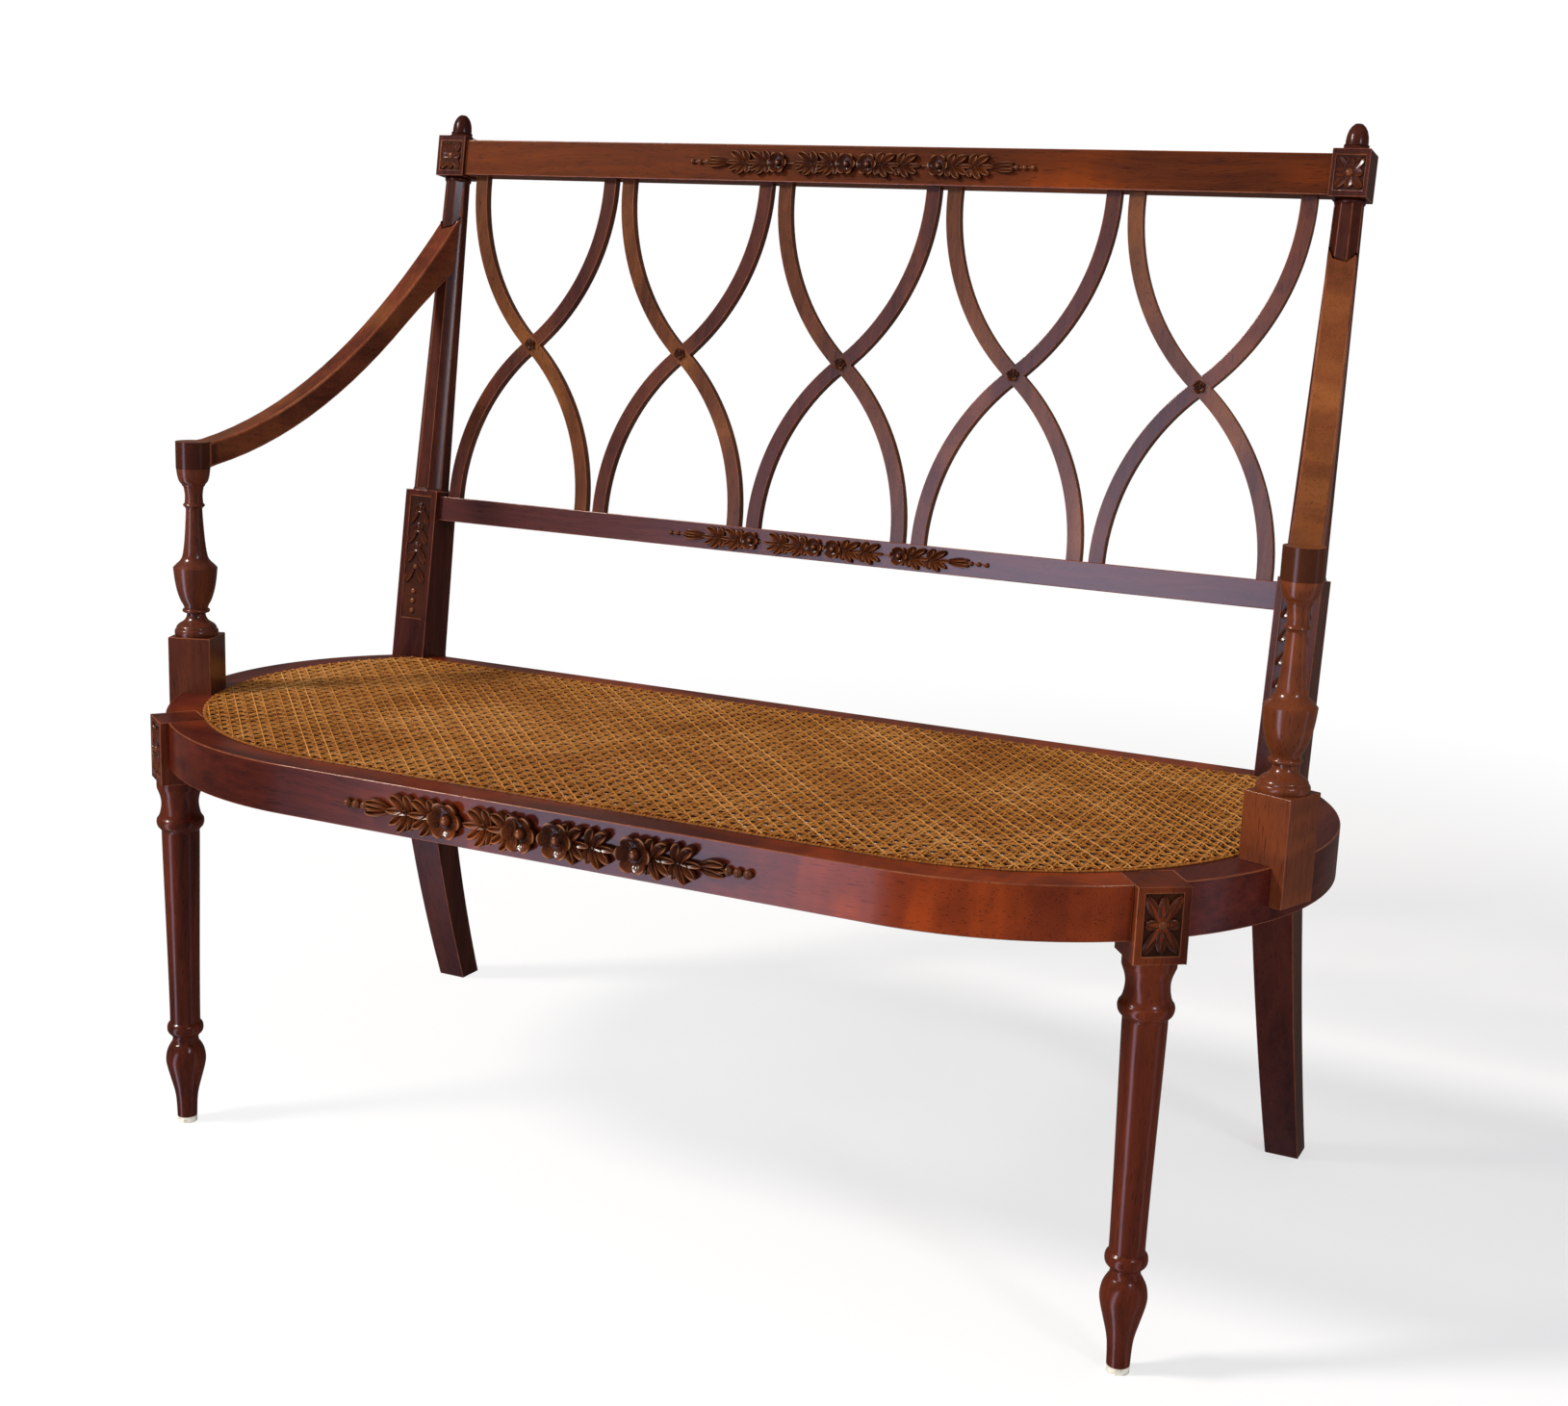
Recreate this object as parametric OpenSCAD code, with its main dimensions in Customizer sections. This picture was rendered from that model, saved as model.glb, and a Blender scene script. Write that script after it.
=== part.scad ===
// Cane settee with an oval seat, crossing ogee bars in the back and carved garlands.
// Lengths are millimetres. The floor is z = 0, the front faces -Y, and the origin is under the middle.

/* [Seat frame] */
// Height of the top of the seat rails
seat_h = 420; // [380:1:460]
// Width over the side rails
seat_w = 1172; // [1040:1:1300]
// Depth from the front rail's face to the back of the back rail
seat_d = 500; // [470:1:540]
// Height of the seat rails
rail_h = 46; // [40:1:60]
// Radius of the front corners in plan as a share of the seat's depth
front_corner_share = 0.594; // [0.54:0.001:0.62]
// Radius of the rear corners in plan as a share of the seat's depth
rear_corner_share = 0.504; // [0.48:0.001:0.53]
// Width of the front rail
front_rail_w = 46; // [42:1:54]
// Width of the side rails at the widest point of the seat
side_rail_w = 53; // [48:1:62]
// Width of the back rail
back_rail_w = 44; // [40:1:50]

/* [Cane] */
// Thickness of the woven cane
cane_t = 1.6; // [1.2:0.1:2.4]
// Distance from the seat opening to the line of holes that the binding covers
cane_inset = 14; // [10:0.5:16]
// Width of the cane binding
binding_w = 5; // [4:0.5:7]
// Height of the cane binding above the rails
binding_h = 2.2; // [1.8:0.1:3.5]

/* [Front legs] */
// Distance of a front leg's axis in from the edge of the round corner
leg_in = 11.3; // [8:0.1:16]
// Place of the leg round the corner, in degrees forward from the side
leg_place = 45.3; // [40:0.1:50]
// Turn of the leg's square block in plan, in degrees
leg_turn = 36; // [28:0.5:44]
// Side of the square block
leg_block = 44; // [40:0.5:50]
// Height of the square block
leg_block_h = 63; // [56:0.5:74]
// Height of the glide
glide_h = 6; // [4:0.5:9]
// Radius of the glide
glide_r = 9.6; // [8:0.1:12]

/* [Rear legs] */
// Distance of the rear leg's middle in from the seat's outline at its front face
post_in = 17.4; // [12:0.1:24]
// Lap of the rear leg's front face over the back rail, from the rail's back
post_lap = 25; // [20:0.5:32]
// Width of the rear leg at the seat
post_w = 42; // [38:0.5:48]
// Depth of the rear leg at the seat
post_d = 46; // [42:0.5:54]
// Outward spread of the foot below the seat
foot_spread = 16; // [0:1:30]
// Backward sweep of the foot below the seat
foot_sweep = 114; // [60:1:140]
// Width of the foot
foot_w = 34; // [30:0.5:42]
// Depth of the foot
foot_d = 32; // [28:0.5:42]

/* [Back] */
// Rake of the back from upright, in degrees
rake = 8.3; // [4:0.1:14]
// Height of the square stile above the seat, along the rake
stile_h = 189; // [180:1:210]
// Depth of the stile at its top
stile_d = 40; // [36:0.5:44]
// Height of the lower back rail's underside above the seat, along the rake
lower_rail_t = 157; // [140:1:160]
// Height of the lower back rail
lower_rail_h = 27; // [22:0.5:29]
// Thickness of the lower back rail
lower_rail_d = 24; // [20:0.5:28]
// Height of the crest rail's underside above the seat, along the rake
crest_t = 542; // [500:1:600]
// Height of the crest rail
crest_h = 38; // [32:0.5:41]
// Thickness of the crest rail
crest_d = 26; // [22:0.5:30]
// Width of the square block at the top of the rear leg
top_block_w = 35; // [32:0.5:40]
// Depth of the square block at the top of the rear leg
top_block_d = 37; // [34:0.5:42]
// Height of the square block at the top of the rear leg
top_block_h = 44; // [42:0.5:50]
// Column width across its flats at the stile
column_w = 37; // [32:0.5:38]
// Column width across its flats under the top block
column_top_w = 25; // [22:0.5:30]

/* [Ogee bars] */
// Space left beside the bars at each rear leg
bar_end_gap = 4; // [2:0.5:12]
// Half the distance between the two bars of a pair, as a share of a pair's space
pair_half_share = 0.439; // [0.4:0.001:0.44]
// Width of a bar
bar_w = 15; // [12:0.5:16]
// Thickness of a bar
bar_t = 10; // [8:0.5:12]
// Straight length of a bar under the crest rail
bar_straight = 6; // [2:1:20]

/* [Arms] */
// Distance of the arm support's axis in from the edge of the round corner
arm_in = 10.4; // [7:0.1:14]
// Place of the support round the corner, in degrees forward from the side
arm_place = 19.6; // [14:0.1:24]
// Turn of the support's square block in plan, in degrees
arm_turn = 20; // [14:0.5:26]
// Side of the support's square block
arm_block = 44; // [40:0.5:48]
// Height of the block above the seat rail
arm_block_h = 58; // [50:1:70]
// Length of the block's lap down the outside of the rail
arm_lap = 33; // [20:1:38]
// Height of the turned support above its block
arm_turned_h = 171; // [150:1:190]
// Radius of the round end of the arm
arm_cap_r = 17; // [15:0.5:20]
// Height of the round end of the arm
arm_cap_h = 27; // [25:0.5:32]
// Width of the arm
arm_w = 27; // [24:0.5:31]
// Thickness of the arm
arm_t = 24; // [20:0.5:26]
// Height of the arm's joint with the rear leg above the seat, along the rake
arm_joint_t = 457; // [430:1:480]

/* [Carving] */
// Half length of the garland on the front seat rail
seat_garland_half = 203; // [180:1:225]
// Distance of that garland's middle to the right of the seat's middle
seat_garland_right = -14; // [-30:1:30]
// Flower radius of the garland on the front seat rail
seat_flower_r = 17; // [12:0.5:18]
// Half length of the garland on the crest rail
crest_garland_half = 194; // [170:1:210]
// Flower radius of the garland on the crest rail
crest_flower_r = 11; // [9:0.5:13]
// Half length of the garland on the lower back rail
lower_garland_half = 184; // [165:1:200]
// Distance of that garland's middle to the right of the seat's middle
lower_garland_right = 5; // [-30:1:30]
// Flower radius of the garland on the lower back rail
lower_flower_r = 10; // [8:0.5:11]
// Relief of the garland on the front seat rail, which the others' follows by their flowers' size
relief = 9; // [4:0.5:10]
// Depth of the sunk panels in the blocks and stiles
panel_depth = 2; // [1:0.5:3]

/* [Hidden] */
$fn = 64;

left_sign = -1;
right_sign = 1;
mahogany = "#6b3322";
mahogany_dark = "#552819";
cane_gold = "#a8752f";
steel = "#8c8c88";

// Clearance round a glued tenon or a screw
fit = 0.1;
// How far a cut runs past what it cuts
over = 1;
// Reach of the half planes that divide the seat frame
reach = seat_w;

// Nail of a glide
glide_nail_r = 1.5;
glide_nail_l = 18;

// Tenons of the seat frame
tenon_t = 10;
tenon_h = 28;
tenon_root = 6;
leg_tenon_l = 16;
leg_tenon_in = 2;
side_tenon_l = 25;
side_tenon_out = 9;
back_tenon_l = 18;
back_tenon_in = 5;

// Tenons of the back
back_rail_tenon_l = 14;
back_rail_tenon_t = 10;
back_rail_tenon_edge = 6;
bar_tenon_l = 10;

// Straight part of a bar at its halving joint, a hair wider than the bar
bar_joint_l = 12;
bar_joint_out = 0.2;

// Setting back of the back rails from the stiles' front, and the top block's drop below the crest rail
crest_in = 4;
lower_rail_in = 7;
bar_in = 12;
top_block_drop = 2;

// Screws, and the blocks and brace under the seat
screw_r = 2;
screw_head_r = 4;
screw_head_h = 3;
corner_screw_l = 34;
corner_screw_off = 30;
corner_block_d = 24;
rear_block_d = 26;
corner_block_t = 20;
corner_block_up = 8;
brace_w = 30;
brace_t = 20;
brace_dip = 16;
brace_up = 6;
brace_tenon_l = 12;
brace_tenon_t = 14;
brace_steps = 12;

// Derived places in plan
half_w = seat_w / 2;
front_corner_r = seat_d * front_corner_share;
rear_corner_r = seat_d * rear_corner_share;
side_y = front_corner_r;
leg_x = half_w - front_corner_r + (front_corner_r - leg_in) * cos(leg_place);
leg_y = side_y - (front_corner_r - leg_in) * sin(leg_place);
arm_x = half_w - front_corner_r + (front_corner_r - arm_in) * cos(arm_place);
arm_y = side_y - (front_corner_r - arm_in) * sin(arm_place);
post_y = seat_d - post_lap;
post_x = half_w - rear_corner_r + sqrt(pow(rear_corner_r, 2) - pow(post_y - side_y, 2)) - post_in;
open_half_w = half_w - side_rail_w;
open_r = side_y - front_rail_w;
open_back_y = seat_d - back_rail_w;
rail_z = seat_h - rail_h;
post_in_x = post_x - post_w / 2;
post_out_x = post_x + post_w / 2;
foot_y = post_y + foot_sweep;
mid_y = (foot_y + foot_d - relief) / 2;
open_centre_x = open_half_w - open_r;
rear_corner_x = open_centre_x + sqrt(pow(open_r, 2) - pow(open_back_y - side_y, 2));
rear_corner_turn = (90 + atan2(open_back_y - side_y, rear_corner_x - open_centre_x)) / 2;
top_block_t = crest_t - top_block_drop;
crest_end_x = post_x - top_block_w / 2;
pairs = 5;
pair_reach = (pairs - 1) / 2;
pair_places = [-pair_reach:pair_reach];
pair_pitch = 2 * (post_in_x - bar_end_gap) / pairs;
pair_half = pair_pitch * pair_half_share;

// A raked leg: share of the sweep that the straight slope takes, and steps of its curve
sweep_slope_share = 0.6;
sweep_steps = 12;

// Turned front leg: radius as a share of half the block, height as a share of the turned length
leg_shares = [[0.44, 0], [0.45, 0.04], [0.52, 0.087], [0.6, 0.12], [0.82, 0.155], [0.91, 0.177],
    [0.92, 0.188], [0.91, 0.2], [0.8, 0.222], [0.62, 0.235], [0.54, 0.243], [0.55, 0.257], [0.64, 0.262],
    [0.65, 0.29], [0.65, 0.302], [0.74, 0.58], [0.82, 0.86], [0.84, 0.875], [0.84, 0.943], [0.88, 0.966],
    [0.93, 1]];
leg_core_l = 2;
leg_bead_shares = [[0.8, 0.276, 0.05], [0.87, 0.877, 0.045], [1.02, 0.897, 0.09]];

// Turned arm support: shares of half the block and of the turned height
arm_post_shares = [[1, 0], [1, 0.012], [0.82, 0.035], [0.55, 0.07], [0.46, 0.1], [0.48, 0.128],
    [0.56, 0.16], [0.74, 0.222], [0.89, 0.275], [0.965, 0.316], [1, 0.363], [1.01, 0.41], [0.86, 0.433],
    [0.63, 0.462],
    [0.52, 0.51], [0.46, 0.605], [0.42, 0.714], [0.4, 0.766], [0.4, 0.813], [0.42, 0.871], [0.49, 0.889],
    [0.6, 0.9], [0.64, 0.93], [0.69, 0.959], [0.71, 1]];
arm_post_bead_shares = [[0.59, 0.146, 0.07], [0.5, 0.789, 0.06], [0.52, 0.889, 0.04]];
arm_spigot_r = 6;
arm_spigot_l = 16;
arm_dowel_r = 7;
arm_dowel_l = 26;
arm_fixing_in = 4;
arm_fixing_half = 9;
arm_screw_l = 60;

// Arm: slope at its round end, height of its top over the joint, and the swell into the rear leg
arm_slope_share = 0.155;
arm_drop = 3;
arm_end_up = 39.5;
arm_swell = 17.6;
arm_swell_share = 0.755;
arm_steps = 18;
arm_tenon_w = 8;
arm_tenon_l = 10;
arm_tenon_h = 30;
arm_joint_in = 12;

// Finial and its spigot
finial_r = 13;
finial_h = 26;
finial_shares = [[1, 0], [1, 0.06], [0.86, 0.16], [0.8, 0.24], [0.8, 0.36], [0.76, 0.55], [0.66, 0.73],
    [0.5, 0.87], [0.28, 0.97], [0, 1]];
finial_bead_shares = [0.9, 0.2, 0.08];
finial_spigot_r = 4;
finial_spigot_l = 9;

// Flare at the column's foot, and the bead under the top block
column_axis_v = 19;
flare_h = 7;
flare_out = 2;
bead_out = 2;
bead_r = 3;
bead_sink = 0.5;

// Carved panels
leg_panel_w = 31;
leg_panel_h = 51;
leg_panel_up = 7;
top_panel_w = 27;
top_panel_h = 32;
stile_panel_w = 28;
stile_panel_h = 138;
stile_panel_top = 7;
rosette_leaf_w = 9;
rosette_fill_share = 0.88;
carved_leaf_share = 0.7;
carved_boss_share = 0.9;
boss_r = 3.5;
drop_leaf_l = 20;
drop_leaf_w = 8;
drop_turn = 32;
drop_berry_r = 2.6;
drop_leaf_shares = [0.1, 0.26, 0.42, 0.58];
drop_berry_shares = [0.78, 0.86, 0.94];

// Places along a garland as shares of its half length, and sizes as shares of its flower's radius
garland_flower_share = 0.46;
garland_spray_shares = [0.15, 0.27, 0.55, 0.67];
garland_bud_share = 0.78;
garland_berry_shares = [0.885, 0.93, 0.975];
pair_flower_share = 1.06;
petals = 5;
petal_share = 0.42;
petal_place_share = 0.56;
dish_share = 0.62;
dish_depth_share = 0.5;
eye_share = 0.28;
eye_height_share = 0.88;
leaf_length_share = 1.15;
leaf_width_share = 0.42;
leaf_height_share = 0.7;
leaf_step_share = 0.13;
leaf_turns = [12, -14, 38, -41, 66, -69];
bud_turns = [2, 24, -27];
berry_share = 0.25;
berry_height_share = 0.6;
stem_share = 0.16;
stem_height_share = 0.25;

// Rosettes on the crossings
crossing_r = 6.5;
crossing_t = 3;

// Half of the seat plan between two depths, with round corners centred on the widest line
module plan_band(half, corner_r, y0, y1) {
    intersection() {
        union() {
            for (side = [left_sign, right_sign]) translate([side * (half - corner_r), side_y])
                circle(corner_r);
            translate([-(half - corner_r), y0]) square([2 * (half - corner_r), y1 - y0]);
        }
        translate([-half, y0]) square([2 * half, y1 - y0]);
    }
}

module seat_plan() {
    plan_band(half_w, front_corner_r, 0, side_y);
    plan_band(half_w, rear_corner_r, side_y, seat_d);
}

// The seat opening, grown outwards by a distance
module opening_plan(grow = 0) {
    plan_band(open_half_w + grow, open_r + grow, side_y - open_r - grow, open_back_y + grow);
}

module rail_ring() {
    translate([0, 0, rail_z]) linear_extrude(rail_h) difference() {
        seat_plan();
        opening_plan();
    }
}

// Moves the seat frame's plan to the floor's origin, and mirrors what stands on the left
module settee(side = right_sign) {
    translate([0, -mid_y, 0]) mirror([side == left_sign ? 1 : 0, 0, 0]) children();
}

// Frame of the raked back: x across, y into the back and z up the rake, from the seat's height
module back_frame() {
    translate([0, post_y, seat_h]) rotate([-rake, 0, 0]) children();
}

module leg_frame() {
    translate([leg_x, leg_y, 0]) rotate([0, 0, leg_turn]) children();
}

module arm_frame() {
    translate([arm_x, arm_y, 0]) rotate([0, 0, -arm_turn]) children();
}

module both_sides() {
    children();
    mirror([1, 0, 0]) children();
}

module box(low, high) {
    translate(low) cube(high - low);
}

// A turning from shares of a radius and a height, with beads given as outer radius, height and bead radius.
// Its core may run on into a block above it.
module turning(r, h, profile_shares, bead_shares, core_l = 0) {
    rotate_extrude() {
        if (core_l > 0) translate([0, h - core_l]) square([r / 2, 2 * core_l]);
        polygon(concat([[0, 0]], [for (p = profile_shares) [p[0] * r, p[1] * h]], [[0, h]]));
        for (b = bead_shares) {
            translate([(b[0] - b[2]) * r, b[1] * h]) circle(b[2] * r);
            translate([0, b[1] * h - b[2] * r]) square([(b[0] - b[2]) * r, 2 * b[2] * r]);
        }
    }
}

// A wood screw along +z with its countersunk head at the origin
module screw(l, gap = 0) {
    translate([0, 0, -gap]) {
        cylinder(h = screw_head_h + gap, r1 = screw_head_r + gap, r2 = screw_r + gap);
        cylinder(h = l + 2 * gap, r = screw_r + gap);
    }
}

// Outline of a leaf between two arcs, with its stalk at the origin and its tip along +y
module leaf(l, w) {
    arc_r = (pow(l, 2) + pow(w, 2)) / (4 * w);
    translate([0, l / 2]) intersection_for(side = [left_sign, right_sign])
        translate([side * (arc_r - w / 2), 0]) circle(arc_r);
}

// A low dome on z = 0
module dome(r, h) {
    ball_r = (pow(r, 2) + pow(h, 2)) / (2 * h);
    intersection() {
        translate([0, 0, h - ball_r]) sphere(ball_r);
        cylinder(h = 2 * h, r = 2 * r);
    }
}

// An eight-leaved rosette for a sunk panel, fitted to the panel's width and height
module panel_rosette(w, h) {
    for (way = [[0, h], [w, h], [w, 0], [w, -h], [0, -h], [-w, -h], [-w, 0], [-w, h]])
        rotate([0, 0, -atan2(way[0], way[1])]) translate([0, boss_r / 2, 0])
            linear_extrude(panel_depth * carved_leaf_share)
                leaf(norm(way) / 2 * rosette_fill_share - boss_r / 2, rosette_leaf_w);
    dome(boss_r, panel_depth * carved_boss_share);
}

// Front legs

module leg_mortise(gap) {
    for (side = [left_sign, right_sign])
        box(
            [side * leg_block / 2 - (side == right_sign ? leg_tenon_l + gap : tenon_root),
                -tenon_t / 2 + leg_tenon_in - gap, rail_z + (rail_h - tenon_h) / 2 - gap],
            [side * leg_block / 2 + (side == right_sign ? tenon_root : leg_tenon_l + gap),
                tenon_t / 2 + leg_tenon_in + gap, rail_z + (rail_h + tenon_h) / 2 + gap]
        );
}

module front_leg(side) {
    block_z = seat_h - leg_block_h;
    color(mahogany) settee(side) leg_frame() difference() {
        union() {
            box([-leg_block / 2, -leg_block / 2, block_z], [leg_block / 2, leg_block / 2, seat_h]);
            translate([0, 0, glide_h])
                turning(leg_block / 2, block_z - glide_h, leg_shares, leg_bead_shares, leg_core_l);
        }
        difference() {
            box(
                [-leg_panel_w / 2, -leg_block / 2 - over, block_z + leg_panel_up],
                [leg_panel_w / 2, -leg_block / 2 + panel_depth, block_z + leg_panel_up + leg_panel_h]
            );
            translate([0, -leg_block / 2 + panel_depth, block_z + leg_panel_up + leg_panel_h / 2])
                rotate([90, 0, 0]) panel_rosette(leg_panel_w, leg_panel_h);
        }
        leg_mortise(fit);
        glide_nail(fit);
    }
}

module glide_nail(gap) {
    cylinder(h = glide_nail_l + gap, r = glide_nail_r + gap);
}

module front_glide(side) {
    color("#d8d4c8") settee(side) leg_frame() {
        cylinder(h = glide_h, r = glide_r);
        glide_nail(0);
    }
}

// Seat frame

// The half plane beyond the middle of a front leg, which belongs to the side rail
module beyond_leg() {
    leg_frame() box([0, -reach, -over], [reach, reach, seat_h + over]);
}

module leg_socket() {
    leg_frame() box([-leg_block / 2, -leg_block / 2, -over], [leg_block / 2, leg_block / 2, seat_h + over]);
}

module leg_tenon(side) {
    intersection() {
        leg_frame() leg_mortise(0);
        leg_frame() if (side == right_sign) box([0, -reach, 0], [reach, reach, seat_h]);
        else box([-reach, -reach, 0], [0, reach, seat_h]);
    }
}

module front_seat_rail() {
    color(mahogany) settee() difference() {
        union() {
            difference() {
                intersection() {
                    rail_ring();
                    box([-half_w, 0, 0], [half_w, side_y, seat_h]);
                }
                both_sides() beyond_leg();
                both_sides() leg_socket();
            }
            both_sides() leg_tenon(left_sign);
        }
        brace_tenons(fit);
        both_sides() corner_screws(fit);
    }
}

module side_tenon(gap) {
    box(
        [post_out_x - side_tenon_out - tenon_t - gap + tenon_root / 2, post_y - tenon_root,
            rail_z + (rail_h - tenon_h) / 2 - gap],
        [post_out_x - side_tenon_out + gap + tenon_root / 2, post_y + side_tenon_l + gap,
            rail_z + (rail_h + tenon_h) / 2 + gap]
    );
}

module side_seat_rail(side) {
    color(mahogany) settee(side) difference() {
        union() {
            difference() {
                intersection() {
                    rail_ring();
                    beyond_leg();
                }
                leg_socket();
                box([-half_w, open_back_y, 0], [post_in_x, seat_d + over, seat_h + over]);
                box([-half_w, post_y, 0], [half_w, seat_d + over, seat_h + over]);
            }
            leg_tenon(right_sign);
            side_tenon(0);
        }
        arm_frame() arm_fixings(fit);
        corner_screws(fit);
    }
}

module back_tenon(gap) {
    box(
        [post_in_x - tenon_root, post_y + back_tenon_in - gap, rail_z + (rail_h - tenon_h) / 2 - gap],
        [post_in_x + back_tenon_l + gap, post_y + back_tenon_in + tenon_t + gap,
            rail_z + (rail_h + tenon_h) / 2 + gap]
    );
}

module back_seat_rail() {
    color(mahogany) settee() difference() {
        union() {
            box([-post_in_x, open_back_y, rail_z], [post_in_x, seat_d, seat_h]);
            both_sides() back_tenon(0);
        }
        brace_tenons(fit);
        both_sides() corner_screws(fit);
    }
}

module cane_panel() {
    color(cane_gold) settee() translate([0, 0, seat_h]) linear_extrude(cane_t)
        opening_plan(cane_inset - binding_w / 2);
}

module cane_binding() {
    color(cane_gold) settee() translate([0, 0, seat_h]) linear_extrude(binding_h) difference() {
        opening_plan(cane_inset + binding_w / 2);
        opening_plan(cane_inset - binding_w / 2);
    }
}

// Under the seat

module brace_tenons(gap) {
    brace_z = rail_z + brace_up + (brace_t - brace_tenon_t) / 2;
    box(
        [-brace_w / 2 - gap, front_rail_w - brace_tenon_l - gap, brace_z - gap],
        [brace_w / 2 + gap, front_rail_w + tenon_root, brace_z + brace_tenon_t + gap]
    );
    box(
        [-brace_w / 2 - gap, open_back_y - tenon_root, brace_z - gap],
        [brace_w / 2 + gap, open_back_y + brace_tenon_l + gap, brace_z + brace_tenon_t + gap]
    );
}

module seat_brace() {
    span = open_back_y - front_rail_w;
    brace_shares = [for (i = [0:brace_steps]) i / brace_steps];
    low_z = rail_z + brace_up;
    under = [for (s = brace_shares) [front_rail_w + s * span, low_z - 4 * brace_dip * s * (1 - s)]];
    above = [for (i = [brace_steps:-1:0]) [under[i][0], under[i][1] + brace_t]];
    color(mahogany_dark) settee() {
        translate([-brace_w / 2, 0, 0]) rotate([90, 0, 90]) linear_extrude(brace_w)
            polygon(concat(under, above));
        brace_tenons(0);
    }
}

// Frames of the corners of the opening, with +x pointing out through the corner
module front_corner_frame() {
    translate([open_centre_x, side_y, rail_z + corner_block_up])
        rotate([0, 0, atan2(leg_y - side_y, leg_x - open_centre_x)]) children();
}

module rear_corner_frame() {
    translate([rear_corner_x, open_back_y, rail_z + corner_block_up])
        rotate([0, 0, rear_corner_turn]) children();
}

module corner_screws(gap) {
    front_corner_frame() for (side = [left_sign, right_sign])
        translate([open_r - corner_block_d, side * corner_screw_off, corner_block_t / 2])
            rotate([0, 90, 0]) screw(corner_screw_l, gap);
    rear_corner_frame() for (side = [left_sign, right_sign])
        translate([-rear_block_d, side * corner_screw_off, corner_block_t / 2])
            rotate([0, 90, 0]) screw(corner_screw_l, gap);
}

module corner_block_plan() {
    intersection() {
        translate([0, 0, rail_z + corner_block_up]) linear_extrude(corner_block_t) opening_plan();
        union() {
            front_corner_frame()
                box([open_r - corner_block_d, -open_r, 0], [open_r + over, open_r, corner_block_t]);
            rear_corner_frame() box([-rear_block_d, -open_r, 0], [reach, open_r, corner_block_t]);
        }
    }
}

module corner_blocks() {
    color(mahogany_dark) settee() both_sides() difference() {
        corner_block_plan();
        corner_screws(fit);
    }
}

module corner_block_screws() {
    color(steel) settee() both_sides() corner_screws(0);
}

// Rear legs

function sweep_y(z) = let (s = (rail_z - z) / rail_z)
    post_y + foot_sweep * (sweep_slope_share * s + (1 - sweep_slope_share) * pow(s, 2));

// Side view of the leg and stile, as depth and height
module rear_leg_side() {
    zs = [for (i = [0:sweep_steps]) rail_z * i / sweep_steps];
    front = [for (z = zs) [sweep_y(z), z]];
    back = [for (i = [sweep_steps:-1:0])
        [sweep_y(zs[i]) + foot_d + (post_d - foot_d) * zs[i] / rail_z, zs[i]]];
    stile_top = [post_y + stile_h * sin(rake), seat_h + stile_h * cos(rake)];
    stile_back = stile_top + [stile_d * cos(rake), -stile_d * sin(rake)];
    polygon(concat(
        front,
        [[post_y, seat_h], stile_top, stile_back, [post_y + post_d, seat_h]],
        back
    ));
}

module rear_leg_front() {
    polygon([
        [post_x + foot_spread - foot_w / 2, 0],
        [post_x + foot_spread + foot_w / 2, 0],
        [post_out_x, rail_z],
        [post_out_x, seat_h + stile_h],
        [post_in_x, seat_h + stile_h],
        [post_in_x, rail_z]
    ]);
}

// Eight-sided tapering shaft on the rear leg's axis, given by its widths across the flats
module eight_sided(low_t, high_t, low_w, high_w) {
    h = high_t - low_t;
    translate([post_x, column_axis_v, low_t]) intersection_for(turn = [0:45:135])
        rotate([90, 0, turn]) translate([0, 0, -low_w]) linear_extrude(2 * low_w)
            polygon([[-low_w / 2, 0], [low_w / 2, 0], [high_w / 2, h], [-high_w / 2, h]]);
}

module column() {
    eight_sided(stile_h - over, top_block_t + over, column_w, column_top_w);
}

module column_bead() {
    translate([post_x, column_axis_v, top_block_t - bead_r + bead_sink])
        rotate_extrude() translate([column_top_w / 2 + bead_out - bead_r, 0]) circle(bead_r);
}

module stile_drop() {
    for (s = drop_leaf_shares) translate([0, stile_panel_h * (1 - 2 * s) / 2, 0])
        for (side = [left_sign, right_sign])
            translate([side * drop_berry_r / 2, 0, 0]) rotate([0, 0, 180 + side * drop_turn])
                linear_extrude(panel_depth * carved_leaf_share) leaf(drop_leaf_l, drop_leaf_w);
    for (s = concat(drop_leaf_shares, drop_berry_shares)) translate([0, stile_panel_h * (1 - 2 * s) / 2, 0])
        dome(drop_berry_r, panel_depth * carved_boss_share);
}

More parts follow.
